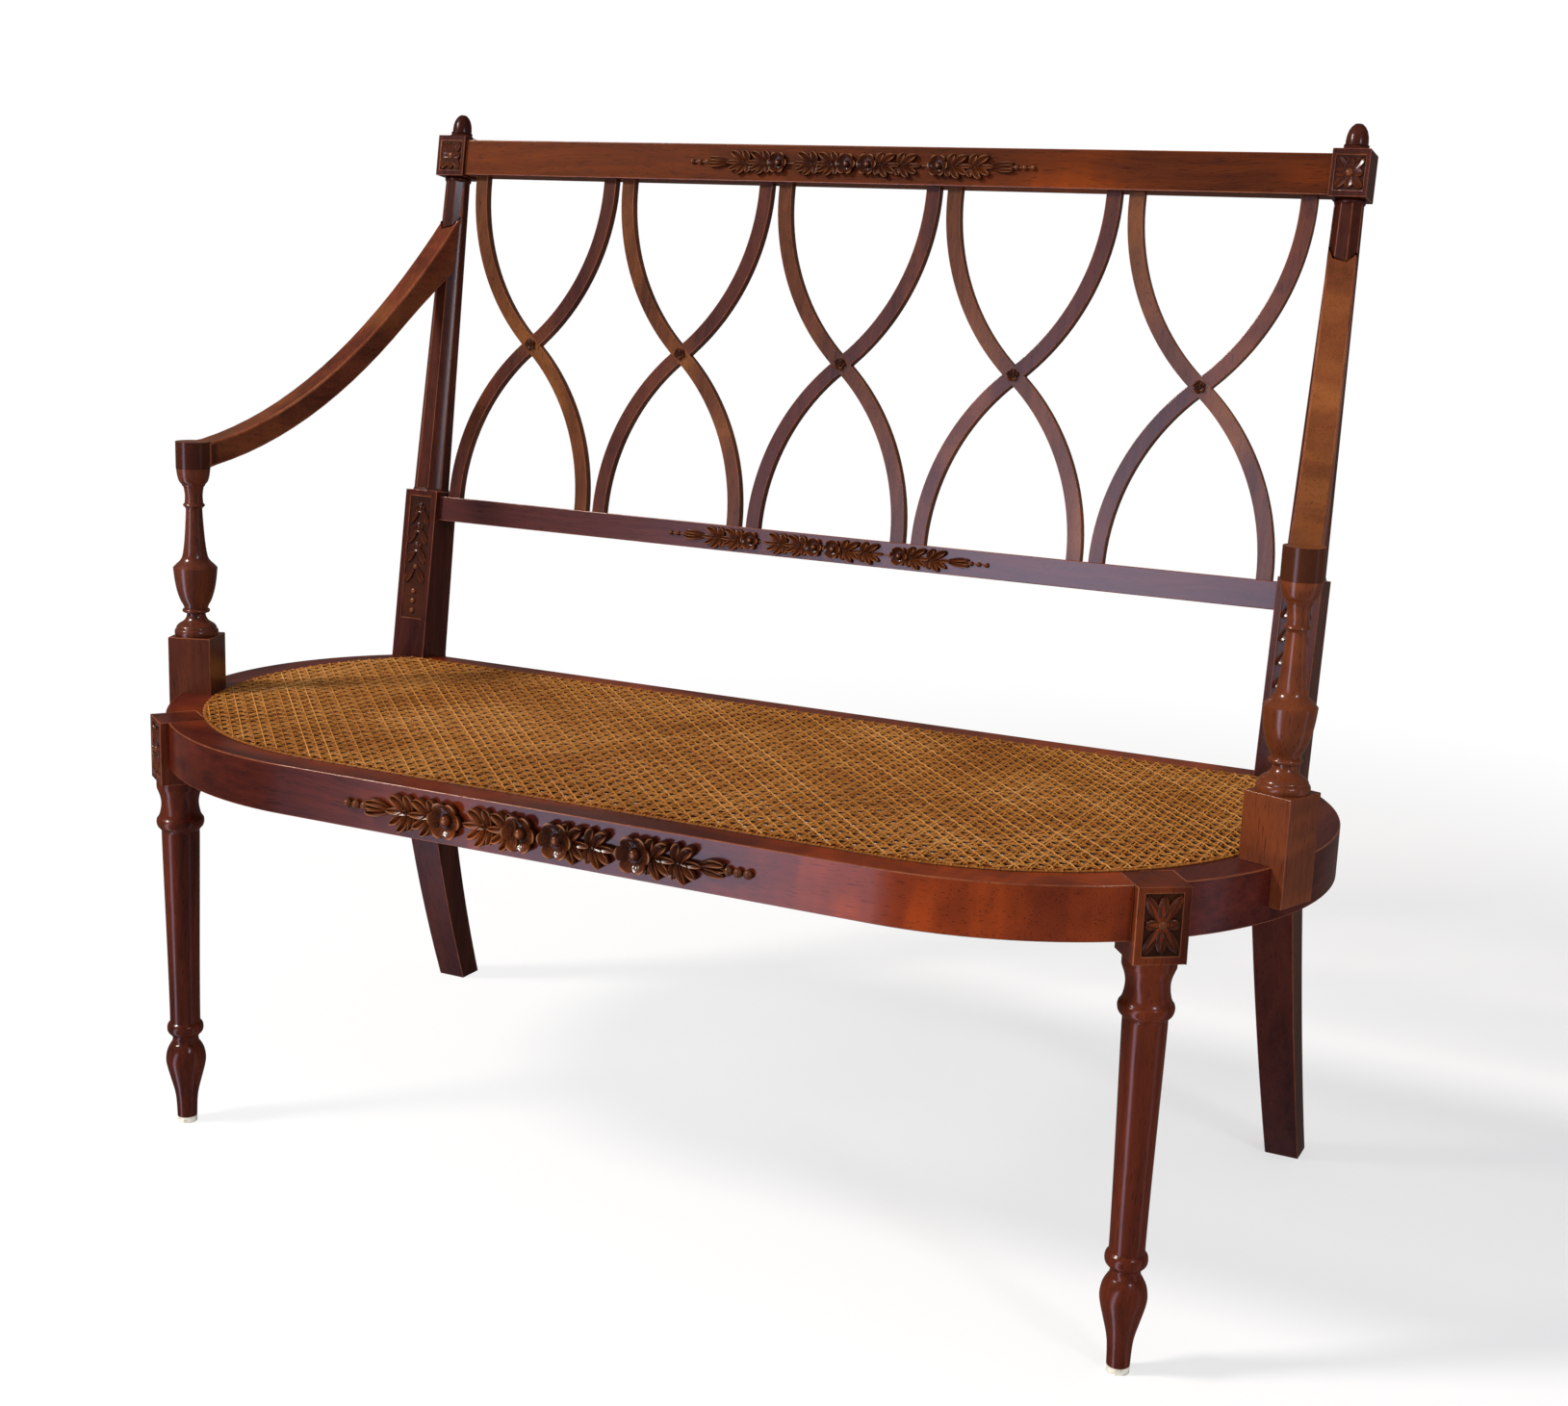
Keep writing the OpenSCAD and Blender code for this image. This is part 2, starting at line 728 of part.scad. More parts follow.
module rear_leg(side) {
    color(mahogany) settee(side) difference() {
        union() {
            intersection() {
                rotate([90, 0, 90]) linear_extrude(reach) rear_leg_side();
                translate([0, reach, 0]) rotate([90, 0, 0]) linear_extrude(reach) rear_leg_front();
            }
            back_frame() {
                column();
                eight_sided(stile_h - over, stile_h + flare_h, column_w + flare_out, column_w - flare_out);
                column_bead();
                translate([post_x - top_block_w / 2, 0, top_block_t])
                    cube([top_block_w, top_block_d, top_block_h]);
            }
        }
        back_frame() {
            difference() {
                translate([post_x - top_panel_w / 2, -over, top_block_t + (top_block_h - top_panel_h) / 2])
                    cube([top_panel_w, panel_depth + over, top_panel_h]);
                translate([post_x, panel_depth, top_block_t + top_block_h / 2])
                    rotate([90, 0, 0]) panel_rosette(top_panel_w, top_panel_h);
            }
            difference() {
                translate([post_x - stile_panel_w / 2, -over, stile_h - stile_panel_top - stile_panel_h])
                    cube([stile_panel_w, panel_depth + over, stile_panel_h]);
                translate([post_x, panel_depth, stile_h - stile_panel_top - stile_panel_h / 2])
                    rotate([90, 0, 0]) stile_drop();
            }
            crest_tenon(fit);
            lower_rail_tenon(fit);
            arm_tenon(fit);
            translate([post_x, top_block_d / 2, top_block_t + top_block_h - finial_spigot_l - fit])
                cylinder(h = finial_spigot_l + over, r = finial_spigot_r + fit);
        }
        side_tenon(fit);
        back_tenon(fit);
    }
}

module finial(side) {
    color(mahogany) settee(side) back_frame()
            translate([post_x, top_block_d / 2, top_block_t + top_block_h]) {
        turning(finial_r, finial_h, finial_shares, [finial_bead_shares]);
        translate([0, 0, -finial_spigot_l]) cylinder(h = finial_spigot_l + over, r = finial_spigot_r);
    }
}

// Rails of the back

module crest_tenon(gap) {
    box(
        [crest_end_x - tenon_root, crest_in + (crest_d - back_rail_tenon_t) / 2 - gap,
            crest_t + back_rail_tenon_edge - gap],
        [crest_end_x + back_rail_tenon_l + gap, crest_in + (crest_d + back_rail_tenon_t) / 2 + gap,
            crest_t + crest_h - back_rail_tenon_edge + gap]
    );
}

module lower_rail_tenon(gap) {
    box(
        [post_in_x - tenon_root, lower_rail_in + (lower_rail_d - back_rail_tenon_t) / 2 - gap,
            lower_rail_t + back_rail_tenon_edge - gap],
        [post_in_x + back_rail_tenon_l + gap, lower_rail_in + (lower_rail_d + back_rail_tenon_t) / 2 + gap,
            lower_rail_t + lower_rail_h - back_rail_tenon_edge + gap]
    );
}

module crest_rail() {
    color(mahogany) settee() back_frame() difference() {
        union() {
            box([-crest_end_x, crest_in, crest_t], [crest_end_x, crest_in + crest_d, crest_t + crest_h]);
            both_sides() crest_tenon(0);
        }
        bar_mortises();
    }
}

module lower_back_rail() {
    color(mahogany) settee() back_frame() difference() {
        union() {
            box(
                [-post_in_x, lower_rail_in, lower_rail_t],
                [post_in_x, lower_rail_in + lower_rail_d, lower_rail_t + lower_rail_h]
            );
            both_sides() lower_rail_tenon(0);
        }
        bar_mortises();
    }
}

// Ogee bars: straight under the crest rail, then an arc down to the crossing and its mirror image below

bar_facets = 180;
bar_low_t = lower_rail_t + lower_rail_h;
bar_rise = (crest_t - bar_straight - bar_low_t) / 2;
bar_r = (pow(pair_half, 2) + pow(bar_rise, 2)) / (2 * pair_half);
bar_arc = atan2(bar_rise, bar_r - pair_half);

module bar_half(gap, straight) {
    translate([-pair_half, 0, bar_rise]) {
        box(
            [-bar_w / 2 - gap, -bar_t / 2 - gap, 0],
            [bar_w / 2 + gap, bar_t / 2 + gap, straight + bar_tenon_l]
        );
        translate([bar_r, 0, 0]) rotate([90, 0, 0]) rotate([0, 0, 180])
            rotate_extrude(angle = bar_arc, $fn = bar_facets)
                translate([bar_r - bar_w / 2 - gap, -bar_t / 2 - gap])
                    square([bar_w + 2 * gap, bar_t + 2 * gap]);
    }
}

// A whole bar about its crossing; the front bars fall to the right, and the back bars to the left
module ogee_bar(gap = 0) {
    joint_w = bar_w + 2 * bar_joint_out + 2 * gap;
    bar_half(gap, bar_straight);
    rotate([0, 180, 0]) bar_half(gap, 0);
    rotate([0, -bar_arc, 0]) translate([-joint_w / 2, -bar_t / 2 - gap, -bar_joint_l / 2])
        cube([joint_w, bar_t + 2 * gap, bar_joint_l]);
}

module crossing_frame(pair) {
    back_frame() translate([pair * pair_pitch, bar_in + bar_t / 2, bar_low_t + bar_rise]) children();
}

module splat_front(pair) {
    color("#7a4632") settee() crossing_frame(pair) difference() {
        ogee_bar();
        intersection() {
            mirror([1, 0, 0]) ogee_bar(fit);
            box([-pair_half / 2, 0, -bar_rise], [pair_half / 2, bar_t, bar_rise]);
        }
    }
}

module splat_back(pair) {
    color("#6a4038") settee() crossing_frame(pair) difference() {
        mirror([1, 0, 0]) ogee_bar();
        intersection() {
            ogee_bar(fit);
            box([-pair_half / 2, -bar_t, -bar_rise], [pair_half / 2, 0, bar_rise]);
        }
    }
}

module bar_mortises() {
    for (pair = pair_places) for (side = [left_sign, right_sign]) for (low = [0, 1])
        translate([
            pair * pair_pitch + side * pair_half,
            bar_in + bar_t / 2,
            low == 1 ? bar_low_t : crest_t
        ]) mirror([0, 0, low]) box(
            [-bar_w / 2 - fit, -bar_t / 2 - fit, -over],
            [bar_w / 2 + fit, bar_t / 2 + fit, bar_tenon_l + fit]
        );
}

// Arm supports and arms

// The dowel under the support's block and the screw beside it
module arm_fixings(gap) {
    translate([-arm_fixing_in, -arm_fixing_half, seat_h - arm_dowel_l - gap])
        cylinder(h = arm_dowel_l + gap + over, r = arm_dowel_r + gap);
    arm_screw(gap);
}

module arm_screw(gap) {
    translate([-arm_fixing_in, arm_fixing_half, rail_z]) screw(arm_screw_l, gap);
}

module arm_post(side) {
    color(mahogany) settee(side) difference() {
        union() {
            difference() {
                arm_frame() box(
                    [-arm_block / 2, -arm_block / 2, seat_h - arm_lap],
                    [arm_block / 2, arm_block / 2, seat_h + arm_block_h]
                );
                linear_extrude(seat_h) seat_plan();
            }
            arm_frame() {
                translate([0, 0, seat_h + arm_block_h])
                    turning(arm_block / 2, arm_turned_h, arm_post_shares, arm_post_bead_shares);
                translate([0, 0, arm_base_z]) cylinder(h = arm_spigot_l, r = arm_spigot_r);
                translate([-arm_fixing_in, -arm_fixing_half, seat_h - arm_dowel_l])
                    cylinder(h = arm_dowel_l + over, r = arm_dowel_r);
            }
        }
        arm_frame() arm_screw(fit);
    }
}

module arm_post_screws() {
    color(steel) settee() both_sides() arm_frame() arm_screw(0);
}

arm_base_z = seat_h + arm_block_h + arm_turned_h;
arm_start_z = arm_base_z + arm_cap_h - arm_drop;
arm_end_y = post_y + arm_joint_t * sin(rake) + column_axis_v * cos(rake);
arm_end_z = seat_h + arm_joint_t * cos(rake) - column_axis_v * sin(rake) + arm_end_up;
arm_run = norm([arm_x - post_x, arm_end_y - arm_y]);
arm_curve_l = pow(arm_run, 2) / (arm_end_z - arm_start_z - arm_slope_share * arm_run);

function arm_top(s) = arm_start_z + arm_slope_share * s + pow(s, 2) / arm_curve_l;
function arm_slope(s) = arm_slope_share + 2 * s / arm_curve_l;
function arm_swell_at(s) =
    arm_swell * pow(max(0, s / arm_run - arm_swell_share) / (1 - arm_swell_share), 2);
function arm_depth(s) = arm_t * norm([1, arm_slope(s)]) + arm_swell_at(s);

module arm_side() {
    runs = [for (i = [0:arm_steps]) arm_run * i / arm_steps];
    top = [for (s = runs) [s, arm_top(s)]];
    under = [for (i = [arm_steps:-1:0]) [runs[i], arm_top(runs[i]) - arm_depth(runs[i])]];
    polygon(concat(top, under));
}

module arm_tenon(gap) {
    translate([post_x - arm_tenon_w / 2 - gap, 0, arm_joint_t - arm_tenon_h / 2 - gap])
        cube([arm_tenon_w + 2 * gap, arm_joint_in + arm_tenon_l + gap, arm_tenon_h + 2 * gap]);
}

module arm(side) {
    color(mahogany) settee(side) difference() {
        union() {
            difference() {
                translate([arm_x, arm_y, 0]) rotate([0, 0, atan2(arm_x - post_x, arm_end_y - arm_y)])
                    translate([-arm_w / 2, 0, 0]) rotate([90, 0, 90]) linear_extrude(arm_w) arm_side();
                back_frame() {
                    column();
                    box([0, arm_joint_in, 0], [reach, reach, reach]);
                }
            }
            back_frame() arm_tenon(0);
            translate([arm_x, arm_y, arm_base_z]) cylinder(h = arm_cap_h, r = arm_cap_r);
        }
        translate([arm_x, arm_y, arm_base_z - over])
            cylinder(h = arm_spigot_l + over + fit, r = arm_spigot_r + fit);
    }
}

// Carved garlands

module flower_outline(r) {
    for (i = [1:petals]) rotate([0, 0, 90 + i * 360 / petals])
        translate([r * petal_place_share, 0]) circle(r * petal_share);
    circle(r * petal_place_share);
}

// A dished flower with a round eye
module flower(r, h) {
    difference() {
        linear_extrude(h) flower_outline(r);
        translate([0, 0, h + over]) mirror([0, 0, 1]) dome(r * dish_share, h * dish_depth_share);
    }
    dome(r * eye_share, h * eye_height_share);
}

// Leaves that leave the stem one after another
module spray_outline(r, turns) {
    for (i = [0:len(turns) - 1]) translate([-i * r * leaf_step_share, 0]) rotate([0, 0, turns[i] - 90])
        leaf(r * leaf_length_share, r * leaf_width_share);
}

module garland_half(half, r, h) {
    for (x = [r * pair_flower_share, half * garland_flower_share]) translate([x, 0, 0]) flower(r, h);
    linear_extrude(h * leaf_height_share) {
        for (s = garland_spray_shares) translate([s * half, 0]) spray_outline(r, leaf_turns);
        translate([garland_bud_share * half, 0]) spray_outline(r, bud_turns);
    }
    for (s = garland_berry_shares) translate([s * half, 0, 0])
        dome(r * berry_share, h * berry_height_share);
    translate([0, -r * stem_share / 2, 0])
        cube([half * garland_berry_shares[2], r * stem_share, h * stem_height_share]);
}

module garland(half, r) {
    rotate([90, 0, 0]) both_sides() garland_half(half, r, relief * r / seat_flower_r);
}

module crest_garland() {
    color(mahogany_dark) settee() back_frame() translate([0, crest_in, crest_t + crest_h / 2])
        garland(crest_garland_half, crest_flower_r);
}

module lower_rail_garland() {
    color(mahogany_dark) settee() back_frame()
        translate([lower_garland_right, lower_rail_in, lower_rail_t + lower_rail_h / 2])
        garland(lower_garland_half, lower_flower_r);
}

module seat_rail_garland() {
    color(mahogany_dark) settee() translate([seat_garland_right, 0, rail_z + rail_h / 2])
        garland(seat_garland_half, seat_flower_r);
}

module splat_rosettes() {
    color(mahogany_dark) settee() for (pair = pair_places) crossing_frame(pair) translate([0, -bar_t / 2, 0])
        rotate([90, 0, 0]) flower(crossing_r, crossing_t);
}

front_leg(left_sign);  // front_leg_left
front_leg(right_sign);  // front_leg_right
front_glide(left_sign);  // front_glide_left
front_glide(right_sign);  // front_glide_right
rear_leg(left_sign);  // rear_leg_left
rear_leg(right_sign);  // rear_leg_right
finial(left_sign);  // finial_left
finial(right_sign);  // finial_right
front_seat_rail();
side_seat_rail(left_sign);  // side_seat_rail_left
side_seat_rail(right_sign);  // side_seat_rail_right
back_seat_rail();
cane_panel();
cane_binding();
seat_brace();
corner_blocks();
corner_block_screws();
arm_post(left_sign);  // arm_post_left
arm_post(right_sign);  // arm_post_right
arm_post_screws();
arm(left_sign);  // arm_left
arm(right_sign);  // arm_right
crest_rail();
lower_back_rail();
for (i = [1:pairs]) {
    splat_front(i - 1 - pair_reach);
    splat_back(i - 1 - pair_reach);
}
splat_rosettes();
crest_garland();
lower_rail_garland();
seat_rail_garland();
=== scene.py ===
from math import acos, atan2, cos, hypot, pi, radians, sin, sqrt

import bmesh
import bpy
from mathutils import Matrix, Vector


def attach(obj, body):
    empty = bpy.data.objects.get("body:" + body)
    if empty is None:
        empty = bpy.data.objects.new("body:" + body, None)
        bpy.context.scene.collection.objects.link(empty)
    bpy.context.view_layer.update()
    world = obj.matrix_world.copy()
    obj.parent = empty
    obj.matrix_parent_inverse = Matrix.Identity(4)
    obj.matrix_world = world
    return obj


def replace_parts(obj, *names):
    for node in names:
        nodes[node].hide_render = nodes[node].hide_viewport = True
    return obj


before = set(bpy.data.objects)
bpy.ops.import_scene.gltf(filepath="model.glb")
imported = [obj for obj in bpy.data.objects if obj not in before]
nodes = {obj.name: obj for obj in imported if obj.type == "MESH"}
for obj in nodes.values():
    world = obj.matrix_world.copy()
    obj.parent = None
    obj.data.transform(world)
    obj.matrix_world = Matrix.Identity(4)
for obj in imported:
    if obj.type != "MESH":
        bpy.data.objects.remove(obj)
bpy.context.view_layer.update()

scene = bpy.context.scene
scene.view_settings.view_transform = "Standard"

# The camera stands at a person's eye height, to the right of the settee's middle,
# and looks down on the cane seat. It leans a little, as the photograph does.
eye_place = (0.8995, -1.7521, 0.8872)
heading, dip, lean = radians(25.54), radians(12.2), radians(-2.22)
ahead = Vector((-sin(heading) * cos(dip), cos(heading) * cos(dip), -sin(dip)))
across = Vector((cos(heading), sin(heading), 0))
down = ahead.cross(across)
side = across * cos(lean) + down * sin(lean)
up = across * sin(lean) - down * cos(lean)
eye = bpy.data.cameras.new("eye")
eye.sensor_fit = "HORIZONTAL"
eye.sensor_width = 36
eye.lens = 48.1
camera = bpy.data.objects.new("camera", eye)
scene.collection.objects.link(camera)
camera.matrix_world = Matrix.Translation(eye_place) @ Matrix((side, up, -ahead)).transposed().to_4x4()
scene.camera = camera


# The room is a white studio: one pale floor that runs out to white, a white sky that is brighter in
# front than behind, and two soft lamps. The stronger lamp is at the front left, so shadows fall to
# the right and back.
def hex_tint(code):
    """A colour code as linear light, with its alpha."""
    parts = [int(code[i:i + 2], 16) / 255 for i in (1, 3, 5)]
    return (*[p / 12.92 if p <= 0.04045 else ((p + 0.055) / 1.055) ** 2.4 for p in parts], 1.0)


def add(tree, kind, values=None, **settings):
    """A new node, with its settings made and its inputs linked or set."""
    whole = kind.startswith(("Geometry", "Function", "NodeGroup"))
    made = tree.nodes.new(kind if whole else "ShaderNode" + kind)
    for name, value in settings.items():
        setattr(made, name, value)
    for key, value in (values or {}).items():
        if isinstance(value, bpy.types.NodeSocket):
            tree.links.new(value, made.inputs[key])
        else:
            made.inputs[key].default_value = value
    return made


def sums(tree, operation, *values):
    return add(tree, "Math", dict(enumerate(values)), operation=operation).outputs[0]


def vectors(tree, operation, first, second):
    return add(tree, "VectorMath", {0: first, 1: second}, operation=operation).outputs


def ranged(tree, value, low, high, at_low, at_high, smooth=False):
    """A value carried from one range to another and held at its ends."""
    ends = {"Value": value, "From Min": low, "From Max": high, "To Min": at_low, "To Max": at_high}
    style = "SMOOTHSTEP" if smooth else "LINEAR"
    return add(tree, "MapRange", ends, interpolation_type=style).outputs["Result"]


def blend(tree, factor, first, second, way="MIX"):
    """The first colour turning into the second, or multiplied by it."""
    given = {"Factor": factor, "A": first, "B": second}
    return add(tree, "Mix", given, data_type="RGBA", blend_type=way).outputs["Result"]


def noise(tree, place, scale, detail):
    return add(tree, "TexNoise", {"Vector": place, "Scale": scale, "Detail": detail}).outputs["Fac"]


def new_material(name):
    material = bpy.data.materials.new(name)
    material.use_nodes = True
    material.node_tree.nodes.clear()
    return material, material.node_tree


floor_size, fade_from, fade_to = 14.0, 1.3, 2.6
lit_side_glow, shadow_side_glow = 0.86, 0.44
studio_floor, tree = new_material("studio_floor")
place = add(tree, "TexCoord").outputs["Object"]
distance = add(tree, "VectorMath", {0: place}, operation="LENGTH").outputs["Value"]
# The floor's white glow is painted light: strong on the lit front left and weaker on the shadow side to the
# right and back, where more of the cast shadow shows.
lee = vectors(tree, "DOT_PRODUCT", place, (0.85, 0.5, 0))["Value"]
near = ranged(tree, lee, -0.3, 0.9, lit_side_glow, shadow_side_glow)
fade = ranged(tree, distance, fade_from, fade_to, near, 1.0, smooth=True)
paint = add(tree, "BsdfDiffuse", {"Color": hex_tint("#f6f6f6")}).outputs[0]
white = add(tree, "Emission", {"Color": (1, 1, 1, 1), "Strength": 1.0}).outputs[0]
seen = add(tree, "LightPath").outputs
share = sums(tree, "MULTIPLY", fade, seen["Is Camera Ray"])
floor_look = add(tree, "MixShader", {0: share, 1: paint, 2: white}).outputs[0]
add(tree, "OutputMaterial", {"Surface": floor_look})
floor_mesh = bpy.data.meshes.new("studio_floor")
reach = floor_size / 2
floor_corners = [(-reach, -reach, 0), (reach, -reach, 0), (reach, reach, 0), (-reach, reach, 0)]
floor_mesh.from_pydata(floor_corners, [], [(0, 1, 2, 3)])
floor_mesh.materials.append(studio_floor)
floor = bpy.data.objects.new("studio_floor", floor_mesh)
scene.collection.objects.link(floor)
floor.visible_glossy = False

# To the eye the sky is plain white, and it lights the settee more from the front. The polish alone
# mirrors a darker room with two pale windows that end a little above the horizon.
dim, bright = 0.1, 0.76
room_tint, window_tint = (0.14, 0.12, 0.11, 1), (5.7, 5.3, 7.2, 1)
sky = bpy.data.worlds.new("studio_sky")
scene.world = sky
sky.use_nodes = True
tree = sky.node_tree
tree.nodes.clear()
seen = add(tree, "LightPath").outputs
direct = sums(tree, "MAXIMUM", seen["Is Camera Ray"], seen["Is Transmission Ray"])
look = add(tree, "TexCoord").outputs["Generated"]
facing = vectors(tree, "DOT_PRODUCT", look, (0.3, -0.75, 0.58))["Value"]
fill = ranged(tree, facing, -0.3, 0.9, dim, bright)
level = ranged(tree, direct, 0.0, 1.0, fill, 1.0)
glow = add(tree, "Background", {"Color": (1, 1, 1, 1), "Strength": level}).outputs[0]
way = add(tree, "SeparateXYZ", {0: look}).outputs
compass = sums(tree, "ARCTAN2", way[1], way[0])


def opening(middle, slant, half, soft):
    """A tall window as the polish mirrors it: 1 inside, 0 outside. Its middle moves with the height."""
    turn = sums(tree, "MULTIPLY_ADD", way[2], -radians(slant), compass)
    off = sums(tree, "ABSOLUTE", sums(tree, "SUBTRACT", turn, radians(middle)))
    return ranged(tree, off, radians(half - soft), radians(half + soft), 1.0, 0.0, smooth=True)


side_window = opening(middle=4, slant=0, half=6, soft=4)
front_window = opening(middle=-111, slant=27, half=7.5, soft=5)
windows = sums(tree, "MULTIPLY_ADD", side_window, 0.12, front_window)
windows = sums(tree, "MULTIPLY", windows, ranged(tree, way[2], 0.12, 0.34, 1.0, 0.0, smooth=True))
mirror = add(tree, "Background", {"Color": blend(tree, windows, room_tint, window_tint)}).outputs[0]
glow = add(tree, "MixShader", {0: seen["Is Glossy Ray"], 1: glow, 2: mirror}).outputs[0]
add(tree, "OutputWorld", {"Surface": glow})


def lamp(name, place, aim, size, power, tint):
    data = bpy.data.lights.new(name, "AREA")
    data.shape = "DISK"
    data.size = size
    data.energy = power
    data.color = hex_tint(tint)[:3]
    held = bpy.data.objects.new(name, data)
    scene.collection.objects.link(held)
    held.location = place
    held.rotation_euler = (Vector(aim) - Vector(place)).to_track_quat("-Z", "Y").to_euler()


lamp("window_lamp", (-2.5, -2.2, 3.1), (0.0, 0.0, 0.4), size=0.8, power=200, tint="#fff8f0")
lamp("side_lamp", (2.6, -1.6, 2.0), (0.2, 0.0, 0.5), size=0.5, power=24, tint="#e8eeff")


# Polished mahogany is made in every wooden piece of the settee from one finish: long streaks of
# light and dark wood, short dark pores, broad patches of figure and a hard clear polish over them.
grain = bpy.data.node_groups.new("mahogany_grain", "ShaderNodeTree")
for name, kind in (("Vector", "Vector"), ("Pale", "Color"), ("Middle", "Color"), ("Dark", "Color"),
                   ("Figure", "Float"), ("Flame", "Float")):
    grain.interface.new_socket(name, in_out="INPUT", socket_type="NodeSocket" + kind)
for name, kind in (("Color", "Color"), ("Roughness", "Float"), ("Height", "Float")):
    grain.interface.new_socket(name, in_out="OUTPUT", socket_type="NodeSocket" + kind)
given = add(grain, "NodeGroupInput").outputs
sway = add(grain, "TexNoise", {"Vector": given["Vector"], "Scale": 3.0, "Detail": 2.0}).outputs["Color"]
sway = vectors(grain, "SUBTRACT", sway, (0.5, 0.5, 0.5))[0]
sway = add(grain, "VectorMath", {0: sway, "Scale": 0.05}, operation="SCALE").outputs[0]
bent = vectors(grain, "ADD", given["Vector"], sway)[0]


def stretched(scale, detail, roughness, low=0.0, high=1.0):
    """Noise drawn out along the grain. Its values between low and high are spread from 0 to 1."""
    texture = {"Vector": vectors(grain, "MULTIPLY", bent, scale)[0], "Scale": 1.0,
               "Detail": detail, "Roughness": roughness}
    return ranged(grain, add(grain, "TexNoise", texture).outputs["Fac"], low, high, 0.0, 1.0, smooth=True)


broad = stretched((2.2, 30, 30), 3.0, 0.55, 0.34, 0.66)
streak = stretched((6, 170, 170), 4.0, 0.62, 0.3, 0.7)
fibre = stretched((30, 1300, 1300), 2.0, 0.5)
pore = stretched((60, 900, 900), 1.0, 0.5, 0.6, 0.7)
patch = stretched((3.0, 10, 10), 2.0, 0.5, 0.5, 0.75)
ripple = stretched((34, 9, 9), 2.0, 0.5, 0.35, 0.65)
bands = sums(grain, "MULTIPLY_ADD", streak, 0.45, sums(grain, "MULTIPLY", broad, 0.55))
colour = blend(grain, bands, given["Dark"], given["Middle"])
bold = sums(grain, "MULTIPLY_ADD", patch, given["Figure"], given["Flame"])
bold = sums(grain, "MULTIPLY", bold, sums(grain, "MULTIPLY_ADD", ripple, 0.5, 0.5))
colour = blend(grain, bold, colour, given["Pale"])
colour = blend(grain, 1.0, colour, ranged(grain, pore, 0.0, 1.0, 1.0, 0.55), way="MULTIPLY")
rough = ranged(grain, fibre, 0.0, 1.0, 0.3, 0.46)
relief = sums(grain, "MULTIPLY_ADD", pore, -0.8, fibre)
add(grain, "NodeGroupOutput", {"Color": colour, "Roughness": rough, "Height": relief})


def mahogany(name, way, pale, middle, dark, figure=0.6, coat=0.35, hollows=False, flame=None, dark_front_y=None):
    """A wood with its grain along x, y or z.

    A flame (x, z, reach, amount) is a patch with bolder figure. Forward of a given y, the sides that don't
    face up are darker. With hollows, a carving is darker low down, with dark stain and painted shade, and
    paler on top, with rubbed wear and painted highlight."""
    material, tree = new_material(name)
    place = add(tree, "TexCoord").outputs["Object"]
    grain_turn = {"x": (0, 0, 0), "y": (0, 0, pi / 2), "z": (0, pi / 2, 0)}[way]
    turned = add(tree, "Mapping", {"Vector": place, "Rotation": grain_turn}).outputs[0]
    wood = add(tree, "Group", {"Vector": turned, "Pale": hex_tint(pale), "Middle": hex_tint(middle),
                               "Dark": hex_tint(dark), "Figure": figure}, node_tree=grain)
    if flame:
        x, z, reach, amount = flame
        away = vectors(tree, "DISTANCE", vectors(tree, "MULTIPLY", place, (1, 0, 1))[0], (x, 0, z))["Value"]
        tree.links.new(ranged(tree, away, 0.2 * reach, reach, amount, 0, smooth=True), wood.inputs["Flame"])
    colour = wood.outputs["Color"]
    # Forward of the given y, the sides that don't face up are made darker.
    if dark_front_y:
        forward = add(tree, "SeparateXYZ", {0: place}).outputs[1]
        upright = add(tree, "SeparateXYZ", {0: add(tree, "NewGeometry").outputs["Normal"]}).outputs[2]
        cut = ranged(tree, forward, dark_front_y - 0.004, dark_front_y + 0.004, 0.8, 0, smooth=True)
        darker_front_sides = sums(tree, "MULTIPLY", cut, ranged(tree, upright, 0.3, 0.7, 1.0, 0))
        colour = blend(tree, darker_front_sides, colour, hex_tint("#2c0f08"))
    if hollows:
        # Low in a carving the colour is darkened with dark stain and painted shade, and its rims are
        # lightened with rubbed wear and painted highlight.
        deep = add(tree, "Attribute", attribute_name="hollow").outputs["Fac"]
        colour = blend(tree, deep, colour, hex_tint("#1c0a05"))
        colour = blend(tree, ranged(tree, deep, 0.0, 0.22, 0.6, 0), colour, hex_tint("#b07e5c"))
    bump = add(tree, "Bump", {"Height": wood.outputs["Height"], "Strength": 0.12, "Distance": 0.0004})
    polish = add(tree, "BsdfPrincipled", {
        "Base Color": colour, "Roughness": wood.outputs["Roughness"], "Normal": bump.outputs[0],
        "Specular IOR Level": 0.04, "Coat Weight": coat, "Coat Roughness": 0.17, "Coat IOR": 1.5})
    add(tree, "OutputMaterial", {"Surface": polish.outputs[0]})
    return material


def link(name, mesh, material):
    """A mesh put into the scene as a visible piece of the settee."""
    piece = bpy.data.objects.new(name, mesh)
    scene.collection.objects.link(piece)
    mesh.materials.clear()
    mesh.materials.append(material)
    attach(piece, "root")
    return piece


